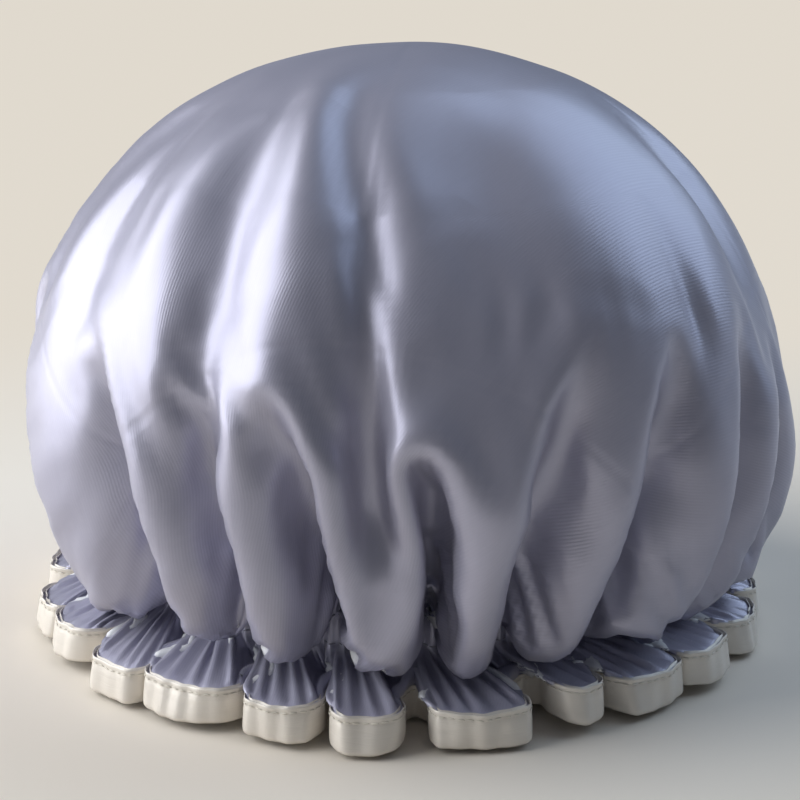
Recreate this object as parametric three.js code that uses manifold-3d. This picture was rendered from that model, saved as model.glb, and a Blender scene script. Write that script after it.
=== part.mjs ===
// Gathered satin shower cap, puffed out and standing on its ruffle.
// A satin circle and a waterproof lining circle share one bound edge. Two stitch rows through both layers
// make a casing, and the elastic in that casing draws the cloth in to a mouth between crown and ruffle.
// Millimetres, +Z up. The origin is on the table under the middle of the crown, and -Y is the front.
import * as THREE from 'three';
import { mergeVertices } from 'three/addons/utils/BufferGeometryUtils.js';
import Module from 'manifold-3d';

// Crown: heights are above the cut edge of the cloth
const CROWN_HEIGHT = 175;
const CROWN_RADIUS = 117; // on the ridges, where the crown is widest
const CROWN_WIDEST_HEIGHT = 53;
const CROWN_FULLNESS = 2.2; // power of the upper line: 2 is an ellipse, and more is fuller
const OVERHANG_BULGE = [33, 28.5]; // out from the casing, and up from the cut edge, below the widest ring
const OVERHANG_FLOOR = [18.5, 13.5]; // the same where the crown hangs lowest
const BULGE_FACING = [2, -1]; // way in which the cloth faces there, as radial and upward parts
const FLOOR_FACING = [0, -1];

// Main folds of the crown, from the left round the front to the right. Each has the azimuth of its valley
// at the widest ring and at the casing, in degrees from the front, and its share of a full valley's depth.
const FRONT_FOLDS = [
  [-78, -66, 0.7],
  [-49, -38, 0.85],
  [-28.5, -24, 0.6],
  [-15, -9, 0.95],
  [2, 4.5, 0.9],
  [21, 14.5, 0.65],
  [38, 27.5, 0.85],
  [59, 47.5, 0.75],
  [75, 62, 0.7],
  [92, 80, 0.8],
];
const BACK_FOLDS = 13; // spaced evenly round the rest of the crown
const BACK_SWAY_DEG = 4; // by which these lean to one side or the other
const BACK_DEPTH = 0.73;
const BACK_DEPTH_RANGE = 0.17;
const BACK_CHANGE = [2.4, 1.7]; // radians by which lean and depth change from one to the next
const CROWN_FOLD_DEPTH = 13; // a full valley below the ridges, on the overhang
const RIDGE_DEG = 160; // share of each 360 degree gather that its ridge takes there
const VALLEY_DEG = 60; // the same for the floor of its valley

// Casing and elastic
const CASING_RADIUS = 80;
const CASING_FLOOR = 16.4; // where the casing ends below
const ELASTIC_WIDTH = 7;
const ELASTIC_THICKNESS = 1.2;
const ELASTIC_LAP = 16; // length over which the two ends are sewn together
const ELASTIC_RAMP = 12; // length in which one end steps under the other
const ELASTIC_PLAY = 0.7; // room for the elastic to slide in its casing
const LAP_GAP = 0.3;
const LAP_ZIGZAGS = 4;

// Ruffle and its binding
const RUFFLE_REACH = 23; // from the casing out to the mean line of the bound edge
const RUFFLE_LOBE_DEPTH = 7.5; // in or out from that mean line
const LOBE_VARIATION = 0.22; // share by which lobes deepen and fade round the cap
const LOBE_VARIATION_WAVES = 4;
const FIRST_GAP_DEG = -60.5; // azimuth of the gap between lobes under the first fold
const LOBE_FLAT_DEG = 130; // share of each 360 degree gather that one lobe front takes
const HEM_PITCH_DEG = 62; // steepness of the hem that stands on the table
const HEM_MARGIN = 3; // straight hem cloth above the binding
const BINDING_WIDTH = 10;
const BINDING_WALL = 0.5;
const BINDING_STITCH_INSET = 1.8; // stitch row below the binding's upper edge
const STAND_CUT = 0.5; // depth by which the standing edge is flattened

// Cloth and thread
const SATIN_WALL = 0.6;
const LINING_WALL = 0.4;
const LINING_EASE = 1; // slack between the lining and the deepest satin valleys
const SEAM_GAP = 0.45;
const THREAD = 0.7;
const STITCH_MARGIN = 1.6; // casing stitch rows from the casing's top and bottom folds

// Places of the crown's upper rings, in degrees down from the top
const UPPER_RING_DEG = [22, 45, 67];
const SLIGHT_FOLDS = 0.05; // share of the fold depth on the last upper ring
const WIDEST_FOLDS = 0.35; // the same on the widest ring

const RING_SIDES = 96;
const THREAD_SIDES = 4;
const LAP_STEPS = 6;

const wasm = await Module();
wasm.setup();

const radians = THREE.MathUtils.degToRad;
const lerp = THREE.MathUtils.lerp;

// Sizes that follow from the driving ones
const casingTop = CASING_FLOOR + ELASTIC_WIDTH + 2 * (ELASTIC_PLAY + STITCH_MARGIN);
const elasticHeight = (CASING_FLOOR + casingTop) / 2;
const elasticRadius = CASING_RADIUS - SATIN_WALL - ELASTIC_PLAY - ELASTIC_THICKNESS / 2;
const lapStep = ELASTIC_THICKNESS + LAP_GAP;
const seamInset = SATIN_WALL + SEAM_GAP;
const hemLength = BINDING_WIDTH + HEM_MARGIN;
const edgeRadius = CASING_RADIUS + RUFFLE_REACH;
const hemTopRadius = edgeRadius - hemLength * Math.cos(radians(HEM_PITCH_DEG));
const hemTopHeight = hemLength * Math.sin(radians(HEM_PITCH_DEG));
const hemTopLobe = RUFFLE_LOBE_DEPTH * (hemTopRadius - CASING_RADIUS) / RUFFLE_REACH;
const tunnelInset = SATIN_WALL + 2 * ELASTIC_PLAY + 2 * ELASTIC_THICKNESS + LAP_GAP + SEAM_GAP + THREAD;

// The folds round the back, from the last one at the front to the first.
function backFolds() {
  const from = FRONT_FOLDS.at(-1)[1];
  const step = (FRONT_FOLDS[0][1] + 360 - from) / (BACK_FOLDS + 1);
  const [swayChange, depthChange] = BACK_CHANGE;
  return Array.from({ length: BACK_FOLDS }, (_, i) => {
    const azimuth = from + (i + 1) * step;
    const sway = BACK_SWAY_DEG * Math.sin(1 + swayChange * i);
    return [azimuth + sway, azimuth, BACK_DEPTH + BACK_DEPTH_RANGE * Math.cos(depthChange * i)];
  });
}

const FOLDS = [...FRONT_FOLDS, ...backFolds()];
const GATHERS = FOLDS.length;

// One ring of the cloth: its radius and height, the depth of its folds and the way they push out, given as a
// radial and an upward part, the share in which its points follow the folds' own spacing, and the share of
// the way from the widest ring down to the casing.
function clothRow(radius, height, fold = 0, outward = [1, 0], spread = 0, lower = 0) {
  const [radial, upward] = new THREE.Vector2(...outward).normalize().toArray();
  return { radius, height, fold, radial, upward, spread, lower };
}

// A ring on the upper half of the crown, which is a full quarter round turned about the Z axis.
function upperRow(degrees, foldShare, spread) {
  const rise = CROWN_HEIGHT - CROWN_WIDEST_HEIGHT;
  const across = Math.sin(radians(degrees)) ** (2 / CROWN_FULLNESS);
  const up = Math.cos(radians(degrees)) ** (2 / CROWN_FULLNESS);
  const facing = [across ** (CROWN_FULLNESS - 1) / CROWN_RADIUS, up ** (CROWN_FULLNESS - 1) / rise];
  return clothRow(CROWN_RADIUS * across, CROWN_WIDEST_HEIGHT + rise * up, CROWN_FOLD_DEPTH * foldShare,
    facing, spread);
}

// A ring on the overhang, with its folds at their full depth.
function underRow([out, up], facing, lower) {
  return clothRow(CASING_RADIUS + out, up, CROWN_FOLD_DEPTH, facing, 1, lower);
}

// Rings of the satin's outer face, from the top of the crown to the cut edge
const ROWS = [
  upperRow(UPPER_RING_DEG[0], 0, 0),
  upperRow(UPPER_RING_DEG[1], 0, 0),
  upperRow(UPPER_RING_DEG[2], SLIGHT_FOLDS, 0.5),
  upperRow(90, WIDEST_FOLDS, 1),
  underRow(OVERHANG_BULGE, BULGE_FACING, 0.5),
  underRow(OVERHANG_FLOOR, FLOOR_FACING, 1),
  clothRow(CASING_RADIUS, casingTop),
  clothRow(CASING_RADIUS, CASING_FLOOR),
  clothRow(hemTopRadius, hemTopHeight, hemTopLobe),
  clothRow(edgeRadius, 0, RUFFLE_LOBE_DEPTH),
];
const FLOOR_ROW = 5;
const CASING_TOP_ROW = 6;
const CASING_FLOOR_ROW = 7;
const HEM_ROW = 8;
const EDGE_ROW = 9;

// Where the points of a ring lie in one gather, in degrees, and whether each is on a ridge or in a valley
function gatherPoints(perGather, ridgeDegrees, valleyDegrees) {
  const [ridge, valley] = [ridgeDegrees / 2, valleyDegrees / 2];
  const patterns = {
    1: [[180, 0]],
    2: [[90, 1], [270, -1]],
    4: [[90 - ridge, 1], [90 + ridge, 1], [270 - valley, -1], [270 + valley, -1]],
  };
  return patterns[perGather];
}

// The cloth at a row number, which may fall between two rings or just past the cut edge.
function rowAt(place) {
  const first = THREE.MathUtils.clamp(Math.floor(place), 0, EDGE_ROW - 1);
  const [upper, lower] = [ROWS[first], ROWS[first + 1]];
  const mixed = {};
  for (const key of Object.keys(upper)) mixed[key] = lerp(upper[key], lower[key], place - first);
  return mixed;
}

// A point of the satin's outer face, at an angle round the cap and pushed out by a share of the fold's depth.
function facePoint(place, angle, side) {
  const { radius, height, fold, radial, upward } = rowAt(place);
  const push = fold * side;
  const reach = radius + push * radial;
  return new THREE.Vector3(reach * Math.cos(angle), reach * Math.sin(angle), height + push * upward);
}

// Azimuth of a valley of the crown, given by its number, or of a place between two valleys.
function valleyAzimuth(number, lower) {
  const azimuth = (i) => {
    const turn = Math.floor(i / GATHERS);
    const [widest, casing] = FOLDS[i - turn * GATHERS];
    return lerp(widest, casing, lower) + 360 * turn;
  };
  const first = Math.floor(number);
  return lerp(azimuth(first), azimuth(first + 1), number - first);
}

// The angles and fold sides of all the points on a ring. An unfolded ring is round and evenly spaced.
function ringPoints(place, perGather, folded) {
  const { spread, lower } = rowAt(place);
  const inCrown = place <= FLOOR_ROW;
  const widths = inCrown ? [RIDGE_DEG, VALLEY_DEG] : [LOBE_FLAT_DEG, LOBE_FLAT_DEG];
  const points = [];
  FOLDS.forEach(([, , depth], gather) => {
    for (const [degrees, level] of gatherPoints(perGather, ...widths)) {
      const number = gather + (degrees - 270) / 360;
      const even = FIRST_GAP_DEG + number * 360 / GATHERS;
      const azimuth = folded ? lerp(even, valleyAzimuth(number, lower), spread) : even;
      const angle = radians(azimuth - 90);
      const crownSide = level < 0 ? -depth : 0;
      const lobeSide = level * (1 + LOBE_VARIATION * Math.cos(LOBE_VARIATION_WAVES * angle));
      const side = inCrown ? crownSide : lobeSide;
      points.push({ angle, side: folded ? side : 0 });
    }
  });
  return points;
}

// A closed ring of points that lies inset below the satin's outer face, square to the face.
function clothRing(place, perGather, inset, folded = true) {
  const points = ringPoints(place, perGather, folded);
  const face = points.map(({ angle, side }) => facePoint(place, angle, side));
  const unit = (from, to) => to.clone().sub(from).normalize();
  const NEARBY = 0.02;
  return points.map(({ angle, side }, i) => {
    const here = face[i];
    const along = unit(face.at(i - 1), here).add(unit(here, face[(i + 1) % face.length]));
    const above = facePoint(Math.max(place - NEARBY, 0), angle, side);
    const below = facePoint(Math.min(place + NEARBY, EDGE_ROW), angle, side);
    const down = new THREE.Vector3();
    if (place > 0) down.add(unit(above, here));
    if (place < EDGE_ROW) down.add(unit(here, below));
    const inward = along.cross(down).normalize();
    return here.clone().addScaledVector(inward, inset);
  });
}

// The pole of a cloth layer, inset below the top of the crown.
const pole = (inset) => [new THREE.Vector3(0, 0, CROWN_HEIGHT - inset)];

// A surface lofted through rings, each with as many points as the last, twice as many or half as many.
// A ring of one point is a pole, and a closed loft runs from the last ring back to the first.
// The diagonals of a band that climbs match those of one that descends, so that the two faces of a cloth
// stay parallel on its twisted folds.
function loft(rings, closed = false) {
  const vertices = rings.flat();
  const starts = rings.map((ring, i) => rings.slice(0, i).reduce((sum, other) => sum + other.length, 0));
  const triangles = [];
  const bands = closed ? rings.length : rings.length - 1;
  for (let band = 0; band < bands; band++) {
    const next = (band + 1) % rings.length;
    const [a, b] = [rings[band].length, rings[next].length];
    const upper = (i) => starts[band] + ((i % a) + a) % a;
    const lower = (i) => starts[next] + ((i % b) + b) % b;
    const climbs = rings[next][0].z > rings[band][0].z;
    const quad = (u, l) => (climbs
      ? [[upper(u), lower(l), upper(u + 1)], [upper(u + 1), lower(l), lower(l + 1)]]
      : [[upper(u), lower(l), lower(l + 1)], [upper(u), lower(l + 1), upper(u + 1)]]);
    for (let i = 0; i < Math.max(a, b); i++) {
      if (a === b) triangles.push(...quad(i, i));
      else if (a === 1) triangles.push([upper(0), lower(i), lower(i + 1)]);
      else if (b === 1) triangles.push([upper(i), lower(0), upper(i + 1)]);
      else if (a < b && i % 2 === 0) triangles.push([upper(i / 2), lower(i), lower(i + 1)]);
      else if (a > b && i % 2 === 0) triangles.push([upper(i), lower(i / 2), upper(i + 1)]);
      else {
        const half = (i - 1) / 2;
        triangles.push(...(a < b ? quad(half, i) : quad(i, half)));
      }
    }
  }
  const geometry = new THREE.BufferGeometry().setFromPoints(vertices);
  geometry.setIndex(triangles.flat());
  return geometry;
}

// A wall of cloth between an outer and an inner inset. Each entry of the layout is a row number, the points
// per gather, the inset of the outer face and whether the ring is folded.
function clothShell(layout, topInset, wall) {
  const face = (extra) => layout.map(([place, points, inset, folded]) => (
    clothRing(place, points, inset + extra, folded)));
  return loft([pole(topInset), ...face(0), ...face(wall).reverse(), pole(topInset + wall)]);
}

// Satin shell: crown, casing and ruffle in one piece of cloth.
function satinGeometry() {
  const pointsPerGather = [1, 1, 2, 2, 4, 4, 2, 2, 4, 4];
  return clothShell(pointsPerGather.map((points, row) => [row, points, 0, true]), 0, SATIN_WALL);
}

// Waterproof lining: a plain bag that clears the satin's valleys, meets the satin at both stitch rows,
// stands off between them to leave the elastic's tunnel, and follows the ruffle to the cut edge.
function liningGeometry() {
  const deepest = Math.max(...FOLDS.map(([, , depth]) => depth));
  const slack = (row) => ROWS[row].fold * deepest + SATIN_WALL + LINING_EASE;
  const tunnelEnd = STITCH_MARGIN / (casingTop - CASING_FLOOR);
  const layout = [
    [0, 1, slack(0), false],
    [1, 1, slack(1), false],
    [2, 2, slack(2), false],
    [3, 2, slack(3), false],
    [FLOOR_ROW - 1, 2, slack(FLOOR_ROW - 1), false],
    [FLOOR_ROW, 2, slack(FLOOR_ROW), false],
    [CASING_TOP_ROW, 2, seamInset, false],
    [CASING_TOP_ROW + tunnelEnd, 2, tunnelInset, false],
    [CASING_FLOOR_ROW - tunnelEnd, 2, tunnelInset, false],
    [CASING_FLOOR_ROW, 2, seamInset, true],
    [HEM_ROW, 4, seamInset, true],
    [EDGE_ROW, 4, seamInset, true],
  ];
  return clothShell(layout, slack(0), LINING_WALL);
}

// Row number of a line on the hem, given by its distance up from the cut edge.
const hemPlace = (distance) => EDGE_ROW - distance / hemLength;

// Binding: tape folded round the edge, with one leg over the satin and one under the lining.
function bindingGeometry() {
  const outerLeg = [-SEAM_GAP - BINDING_WALL, -SEAM_GAP];
  const lining = seamInset + LINING_WALL;
  const innerLeg = [lining + SEAM_GAP, lining + SEAM_GAP + BINDING_WALL];
  const fold = -SEAM_GAP;
  const section = [
    [BINDING_WIDTH, outerLeg[0]],
    [fold - BINDING_WALL, outerLeg[0]],
    [fold - BINDING_WALL, innerLeg[1]],
    [BINDING_WIDTH, innerLeg[1]],
    [BINDING_WIDTH, innerLeg[0]],
    [fold, innerLeg[0]],
    [fold, outerLeg[1]],
    [BINDING_WIDTH, outerLeg[1]],
  ];
  return loft(section.map(([distance, inset]) => clothRing(hemPlace(distance), 4, inset)), true);
}

// Stitch row on the binding, a thread that follows every lobe.
function bindingStitchGeometry() {
  const inset = -2 * SEAM_GAP - BINDING_WALL - THREAD / 2;
  const distance = BINDING_WIDTH - BINDING_STITCH_INSET;
  const section = [[0, -1], [-1, 0], [0, 1], [1, 0]];
  const rings = section.map(([up, deeper]) => (
    clothRing(hemPlace(distance + up * THREAD / 2), 4, inset + deeper * THREAD / 2)));
  return loft(rings, true);
}

// Casing stitch row: a thread ring against the satin at a given height.
function casingStitchGeometry(height) {
  const radius = CASING_RADIUS + SEAM_GAP + THREAD / 2;
  const ring = new THREE.TorusGeometry(radius, THREAD / 2, THREAD_SIDES, RING_SIDES);
  return ring.translate(0, 0, height);
}

// Centre line of the elastic: once round, then one end stepped in under the other.
class ElasticLine extends THREE.Curve {
  getPoint(share, target = new THREE.Vector3()) {
    const turn = 2 * Math.PI;
    const angle = share * (turn + ELASTIC_LAP / elasticRadius);
    const ramp = ELASTIC_RAMP / elasticRadius;
    const radius = elasticRadius - lapStep * THREE.MathUtils.smoothstep(angle, turn - ramp, turn);
    return target.set(radius * Math.cos(angle), radius * Math.sin(angle), elasticHeight);
  }
}

// Zigzag of the thread that joins the elastic's ends, on the inner face of the lap.
class LapStitchLine extends THREE.Curve {
  getPoint(share, target = new THREE.Vector3()) {
    const radius = elasticRadius - lapStep - ELASTIC_THICKNESS / 2 - LAP_GAP - THREAD / 2;
    const END_MARGIN = 0.15;
    const angle = lerp(END_MARGIN, 1 - END_MARGIN, share) * ELASTIC_LAP / elasticRadius;
    const swing = ELASTIC_WIDTH / 2 - THREAD;
    const height = elasticHeight + swing * Math.sin(share * LAP_ZIGZAGS * 2 * Math.PI);
    return target.set(radius * Math.cos(angle), radius * Math.sin(angle), height);
  }
}

// A flat or square section swept along a line. The section's width stands up along Z.
function sweptStrip(line, width, thickness, steps) {
  const section = new THREE.Shape([
    new THREE.Vector2(-width / 2, -thickness / 2),
    new THREE.Vector2(width / 2, -thickness / 2),
    new THREE.Vector2(width / 2, thickness / 2),
    new THREE.Vector2(-width / 2, thickness / 2),
  ]);
  return new THREE.ExtrudeGeometry(section, { extrudePath: line, steps, bevelEnabled: false });
}

// A geometry as a solid for cutting, and a solid as a geometry.
function toSolid(geometry) {
  const bare = geometry.clone();
  bare.deleteAttribute('normal');
  bare.deleteAttribute('uv');
  const merged = mergeVertices(bare);
  return new wasm.Manifold(new wasm.Mesh({
    numProp: 3,
    vertProperties: merged.attributes.position.array,
    triVerts: new Uint32Array(merged.index.array),
  }));
}

function toGeometry(solid) {
  const { vertProperties, triVerts } = solid.getMesh();
  const geometry = new THREE.BufferGeometry();
  geometry.setAttribute('position', new THREE.BufferAttribute(vertProperties, 3));
  geometry.setIndex(new THREE.BufferAttribute(triVerts, 1));
  return geometry;
}

// The binding flattened along its standing edge, and the height at which it is cut.
function standingBinding() {
  const binding = bindingGeometry();
  binding.computeBoundingBox();
  const { min, max } = binding.boundingBox;
  const floor = min.z + STAND_CUT;
  const table = new THREE.BoxGeometry(2 * (max.x - min.x), 2 * (max.y - min.y), 2 * STAND_CUT);
  table.translate(0, 0, floor - STAND_CUT);
  return { geometry: toGeometry(toSolid(binding).subtract(toSolid(table))), floor };
}

const finish = (color, roughness) => new THREE.MeshStandardMaterial({ color, roughness, metalness: 0 });
const SATIN = finish(0x9a9bb0, 0.35);
const FILM = finish(0xe8e9ec, 0.45);
const BINDING = finish(0xd8d0c0, 0.4);
const THREAD_IVORY = finish(0xdcd5c6, 0.6);
const THREAD_GREY = finish(0x8f8fa0, 0.6);
const ELASTIC = finish(0xf0efea, 0.8);

const cap = new THREE.Group();

function addPiece(name, geometry, material) {
  geometry.computeVertexNormals();
  const mesh = new THREE.Mesh(geometry, material);
  mesh.name = name;
  cap.add(mesh);
}

const binding = standingBinding();
addPiece('satin_shell', satinGeometry(), SATIN);
addPiece('waterproof_lining', liningGeometry(), FILM);
addPiece('edge_binding', binding.geometry, BINDING);
addPiece('binding_topstitch', bindingStitchGeometry(), THREAD_IVORY);
addPiece('casing_upper_stitch', casingStitchGeometry(casingTop - STITCH_MARGIN), THREAD_GREY);
addPiece('casing_lower_stitch', casingStitchGeometry(CASING_FLOOR + STITCH_MARGIN), THREAD_GREY);
addPiece('elastic_band',
  sweptStrip(new ElasticLine(), ELASTIC_WIDTH, ELASTIC_THICKNESS, RING_SIDES), ELASTIC);
addPiece('elastic_join_stitch',
  sweptStrip(new LapStitchLine(), THREAD, THREAD, LAP_ZIGZAGS * LAP_STEPS), THREAD_IVORY);

// The cut edge of the cloth is raised so that the flattened binding stands on the table at height 0.
cap.position.z = -binding.floor;

export default cap;
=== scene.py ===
"""Looks of a gathered satin shower cap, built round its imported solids.

The satin is one cut circle. Its crown puffs up over the head space, a hidden elastic draws it in along a
stitched casing, and what is left below the casing is a ruffle whose bound edge stands on the table.
The cloth settles from a gathered start, with threads that keep near the lengths that they have there.
All lengths are in metres. Azimuths are in degrees: 0 is the front (-Y) and positive is the viewer's right.
"""

import logging
import math
import random
from dataclasses import dataclass
from enum import Enum
from typing import Callable, Iterable

import bmesh
import bpy
import numpy as np
from mathutils import Matrix, Vector
from mathutils import noise as cloud


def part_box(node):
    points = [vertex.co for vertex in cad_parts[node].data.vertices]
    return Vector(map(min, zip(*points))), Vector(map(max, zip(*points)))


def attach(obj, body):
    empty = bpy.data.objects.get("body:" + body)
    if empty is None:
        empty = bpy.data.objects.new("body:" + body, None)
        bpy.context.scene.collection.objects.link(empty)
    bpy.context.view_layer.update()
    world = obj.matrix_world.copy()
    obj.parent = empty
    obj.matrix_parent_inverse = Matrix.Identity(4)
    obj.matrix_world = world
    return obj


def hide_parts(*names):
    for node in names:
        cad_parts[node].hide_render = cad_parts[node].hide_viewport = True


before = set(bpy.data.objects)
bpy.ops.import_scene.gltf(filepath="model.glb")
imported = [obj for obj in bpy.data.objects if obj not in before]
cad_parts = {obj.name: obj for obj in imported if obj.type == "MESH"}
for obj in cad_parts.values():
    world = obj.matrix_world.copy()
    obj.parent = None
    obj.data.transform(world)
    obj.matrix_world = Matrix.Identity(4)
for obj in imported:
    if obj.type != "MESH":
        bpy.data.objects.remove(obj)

LOG = logging.getLogger("shower_cap")
MM = 0.001
TURN = 2 * math.pi
SEED = 11

Stations = tuple[tuple[float, float], ...]
Colour = tuple[float, float, float]


class Body(Enum):
    """The moving bodies of the cap."""

    CAP = "sewn_cap"
    ELASTIC = "elastic_ring"


class Thread(Enum):
    """What a pair of points does in the cloth: a thread, a diagonal of the weave or a bend."""

    WEAVE = "weave"
    SHEAR = "shear"
    BEND = "bend"


def ramp(low: float, high: float, value: np.ndarray) -> np.ndarray:
    """A smooth step.

    Args:
        low: where the step starts.
        high: where the step ends.
        value: where it is read.

    Returns:
        0 below low, 1 above high and a smooth rise between them.
    """
    share = np.clip((value - low) / (high - low), 0.0, 1.0)
    return share * share * (3.0 - 2.0 * share)


def around(azimuth: np.ndarray, centre: np.ndarray | float) -> np.ndarray:
    """The signed angle in degrees from a centre to an azimuth, the short way round."""
    return (azimuth - centre + 180.0) % 360.0 - 180.0


def wave(azimuth: np.ndarray, count: float, phase: np.ndarray | float = 0.0) -> np.ndarray:
    """A sine with a count of waves round the cap and a phase in degrees."""
    return np.sin(np.radians(count * azimuth + phase))


def unit(rows: np.ndarray) -> np.ndarray:
    """Rows scaled to length 1."""
    return rows / np.maximum(np.linalg.norm(rows, axis=1, keepdims=True), 1e-12)


def travelled(line: np.ndarray) -> np.ndarray:
    """The distance along a line of points, from its first point to each."""
    return np.concatenate([[0.0], np.cumsum(np.linalg.norm(np.diff(line, axis=0), axis=1))])


def placed(radius: np.ndarray, azimuth: np.ndarray, height: np.ndarray | float) -> np.ndarray:
    """Points in space from cylinder coordinates.

    Args:
        radius: distances from the cap's axis.
        azimuth: azimuths in degrees.
        height: heights above the table.

    Returns:
        One row of x, y and z for each point.
    """
    turn = np.radians(azimuth)
    return np.stack([radius * np.sin(turn), -radius * np.cos(turn), height + 0.0 * radius], axis=-1)


def off_path(path: Stations, share: np.ndarray, azimuth: np.ndarray) -> np.ndarray:
    """The angles in degrees from a path down the crown to some points.

    Args:
        path: its stations from the top down, each a share of the crown's line and the azimuth there.
        share: where the points are on the crown's line.
        azimuth: their azimuths.

    Returns:
        One angle for each point, positive to the right of the path.
    """
    places, turns = zip(*path)
    route = np.polyfit(places, turns, len(places) - 1)
    return around(azimuth, np.polyval(route, np.clip(share, places[0], places[-1])))


@dataclass(frozen=True)
class Fold:
    """A valley that the gathers pull into the crown.

    path holds its stations from the top down, as off_path takes them. depth is how far it goes from the
    crown's outer line (0) to its drawn-in line (1). left and right are its half widths in degrees, and a
    narrow side makes a sharp lip. It deepens over its rise, a share of the crown's line, and starts narrow.
    """

    TIP_WIDTH = 0.4
    TIP_LENGTH = 1.5

    path: Stations
    depth: float
    left: float
    right: float
    rise: float = 0.10

    def weight(self, share: np.ndarray, azimuth: np.ndarray) -> np.ndarray:
        """How far the cloth is drawn in at some points of the crown, from 0 to the fold's depth.

        Args:
            share: where the points are on the crown's line.
            azimuth: their azimuths.

        Returns:
            One weight for each point.
        """
        top, end = self.path[0][0], self.path[-1][0]
        gap = off_path(self.path, share, azimuth)
        widening = ramp(top, top + self.TIP_LENGTH * self.rise, share)
        teardrop = self.TIP_WIDTH + (1.0 - self.TIP_WIDTH) * widening
        gap = np.abs(gap) / (np.where(gap < 0.0, self.left, self.right) * teardrop)
        strength = ramp(top, top + self.rise, share)
        if end < 1.0:
            strength = strength * (1.0 - ramp(end - self.rise, end, share))
        return self.depth * strength * np.exp(-gap ** 2.0)


@dataclass(frozen=True)
class Swell:
    """A soft rise of the upper crown, or a dip if its height is negative, along a path as a fold has it."""

    FADE = 0.08

    path: Stations
    height: float
    width: float

    def lift(self, share: np.ndarray, azimuth: np.ndarray) -> np.ndarray:
        """How far the cloth stands out at some points of the crown.

        Args:
            share: where the points are on the crown's line.
            azimuth: their azimuths.

        Returns:
            One length for each point.
        """
        top, end = self.path[0][0], self.path[-1][0]
        gap = off_path(self.path, share, azimuth) / self.width
        strength = ramp(top - self.FADE, top + self.FADE, share)
        strength = strength * (1.0 - ramp(end - self.FADE, end + self.FADE, share))
        return self.height * strength * np.exp(-gap ** 2)


@dataclass(frozen=True)
class Lobe:
    """One loop of the ruffle.

    azimuth, half and lean are degrees: its middle, its half width and how far its front leans to the right.
    reach is how far it stands out past the others, and lift how far it hangs above the table.
    """

    azimuth: float
    half: float
    lean: float
    reach: float
    lift: float


FRONT_FOLDS = (
    Fold(((0.58, -82.0), (0.80, -72.0), (1.0, -66.0)), 0.75, 5.0, 3.0),
    Fold(((0.50, -55.0), (0.60, -47.5), (0.76, -42.0), (1.0, -38.0)), 1.0, 8.0, 2.6, 0.14),
    Fold(((0.46, -32.0), (0.58, -29.0), (0.72, -27.0), (1.0, -24.0)), 0.80, 4.6, 2.0, 0.16),
    Fold(((0.56, -17.0), (0.66, -15.0), (0.76, -13.2), (1.0, -9.0)), 1.0, 4.5, 3.0, 0.12),
    Fold(((0.36, -8.0), (0.55, -5.0), (0.82, -2.4)), 0.95, 4.0, 1.7, 0.14),
    Fold(((0.60, 1.2), (0.72, 3.0), (1.0, 4.5)), 1.0, 2.6, 3.2),
    Fold(((0.48, 27.0), (0.60, 21.2), (0.72, 17.3), (1.0, 14.5)), 0.88, 1.8, 6.5, 0.14),
    Fold(((0.50, 46.5), (0.62, 39.5), (0.75, 33.3), (1.0, 27.5)), 1.0, 2.0, 5.5, 0.14),
    Fold(((0.52, 64.0), (0.66, 57.0), (1.0, 47.5)), 0.82, 2.2, 4.5, 0.12),
    Fold(((0.60, 77.0), (0.80, 68.0), (1.0, 62.0)), 0.75, 3.5, 3.0),
    Fold(((0.55, 96.0), (0.78, 88.0), (1.0, 80.0)), 0.82, 4.0, 2.2),
)
BACK_FOLDS = 13
BACK_FOLD_TOPS = (0.46, 0.62)
BACK_FOLD_SIDES = (1.8, 2.6, 3.4, 4.6)
BACK_FOLD_SWAY = 4.0
BACK_FOLD_SWAY_STEP = 2.4
BACK_FOLD_DEPTH_STEP = 1.7
BACK_FOLD_DEPTH = 0.73
BACK_FOLD_UNEVEN = 0.17

FRONT_SWELLS = (
    Swell(((0.20, -20.0), (0.32, -10.5), (0.46, -6.0)), -4.5 * MM, 5.0),
    Swell(((0.12, -40.0), (0.26, -22.0), (0.44, -16.0)), 3.5 * MM, 7.0),
    Swell(((0.16, 62.0), (0.34, 38.0), (0.60, 35.0)), 4.0 * MM, 11.0),
    Swell(((0.36, -20.0), (0.52, -19.0), (0.66, -18.0)), 4.0 * MM, 6.0),
    Swell(((0.26, -37.0), (0.42, -32.0), (0.60, -30.0)), -3.5 * MM, 6.0),
    Swell(((0.30, -46.0), (0.45, -43.0), (0.58, -40.0)), 3.0 * MM, 6.0),
    Swell(((0.22, 14.0), (0.40, 12.0), (0.55, 12.0)), -2.5 * MM, 14.0),
    Swell(((0.48, 49.0), (0.53, 50.0)), -3.0 * MM, 4.0),
    Swell(((0.24, -70.0), (0.42, -62.0), (0.58, -58.0)), -3.0 * MM, 6.0),
    Swell(((0.26, -84.0), (0.46, -76.0), (0.60, -72.0)), 3.0 * MM, 7.0),
    Swell(((0.40, 58.0), (0.60, 52.0)), 2.5 * MM, 6.0),
    Swell(((0.30, 78.0), (0.56, 70.0)), -2.5 * MM, 7.0),
)
BACK_SWELLS = 9
BACK_SWELL_START = 85.0
BACK_SWELL_STEP = 24.0
BACK_SWELL_STRAY = 6.0
BACK_SWELL_SLANT = 12.0
BACK_SWELL_TOPS = (0.18, 0.32)
BACK_SWELL_END = 0.58
BACK_SWELL_MM = (3.0, 4.5)
BACK_SWELL_WIDTHS = (5.0, 9.0)

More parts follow.
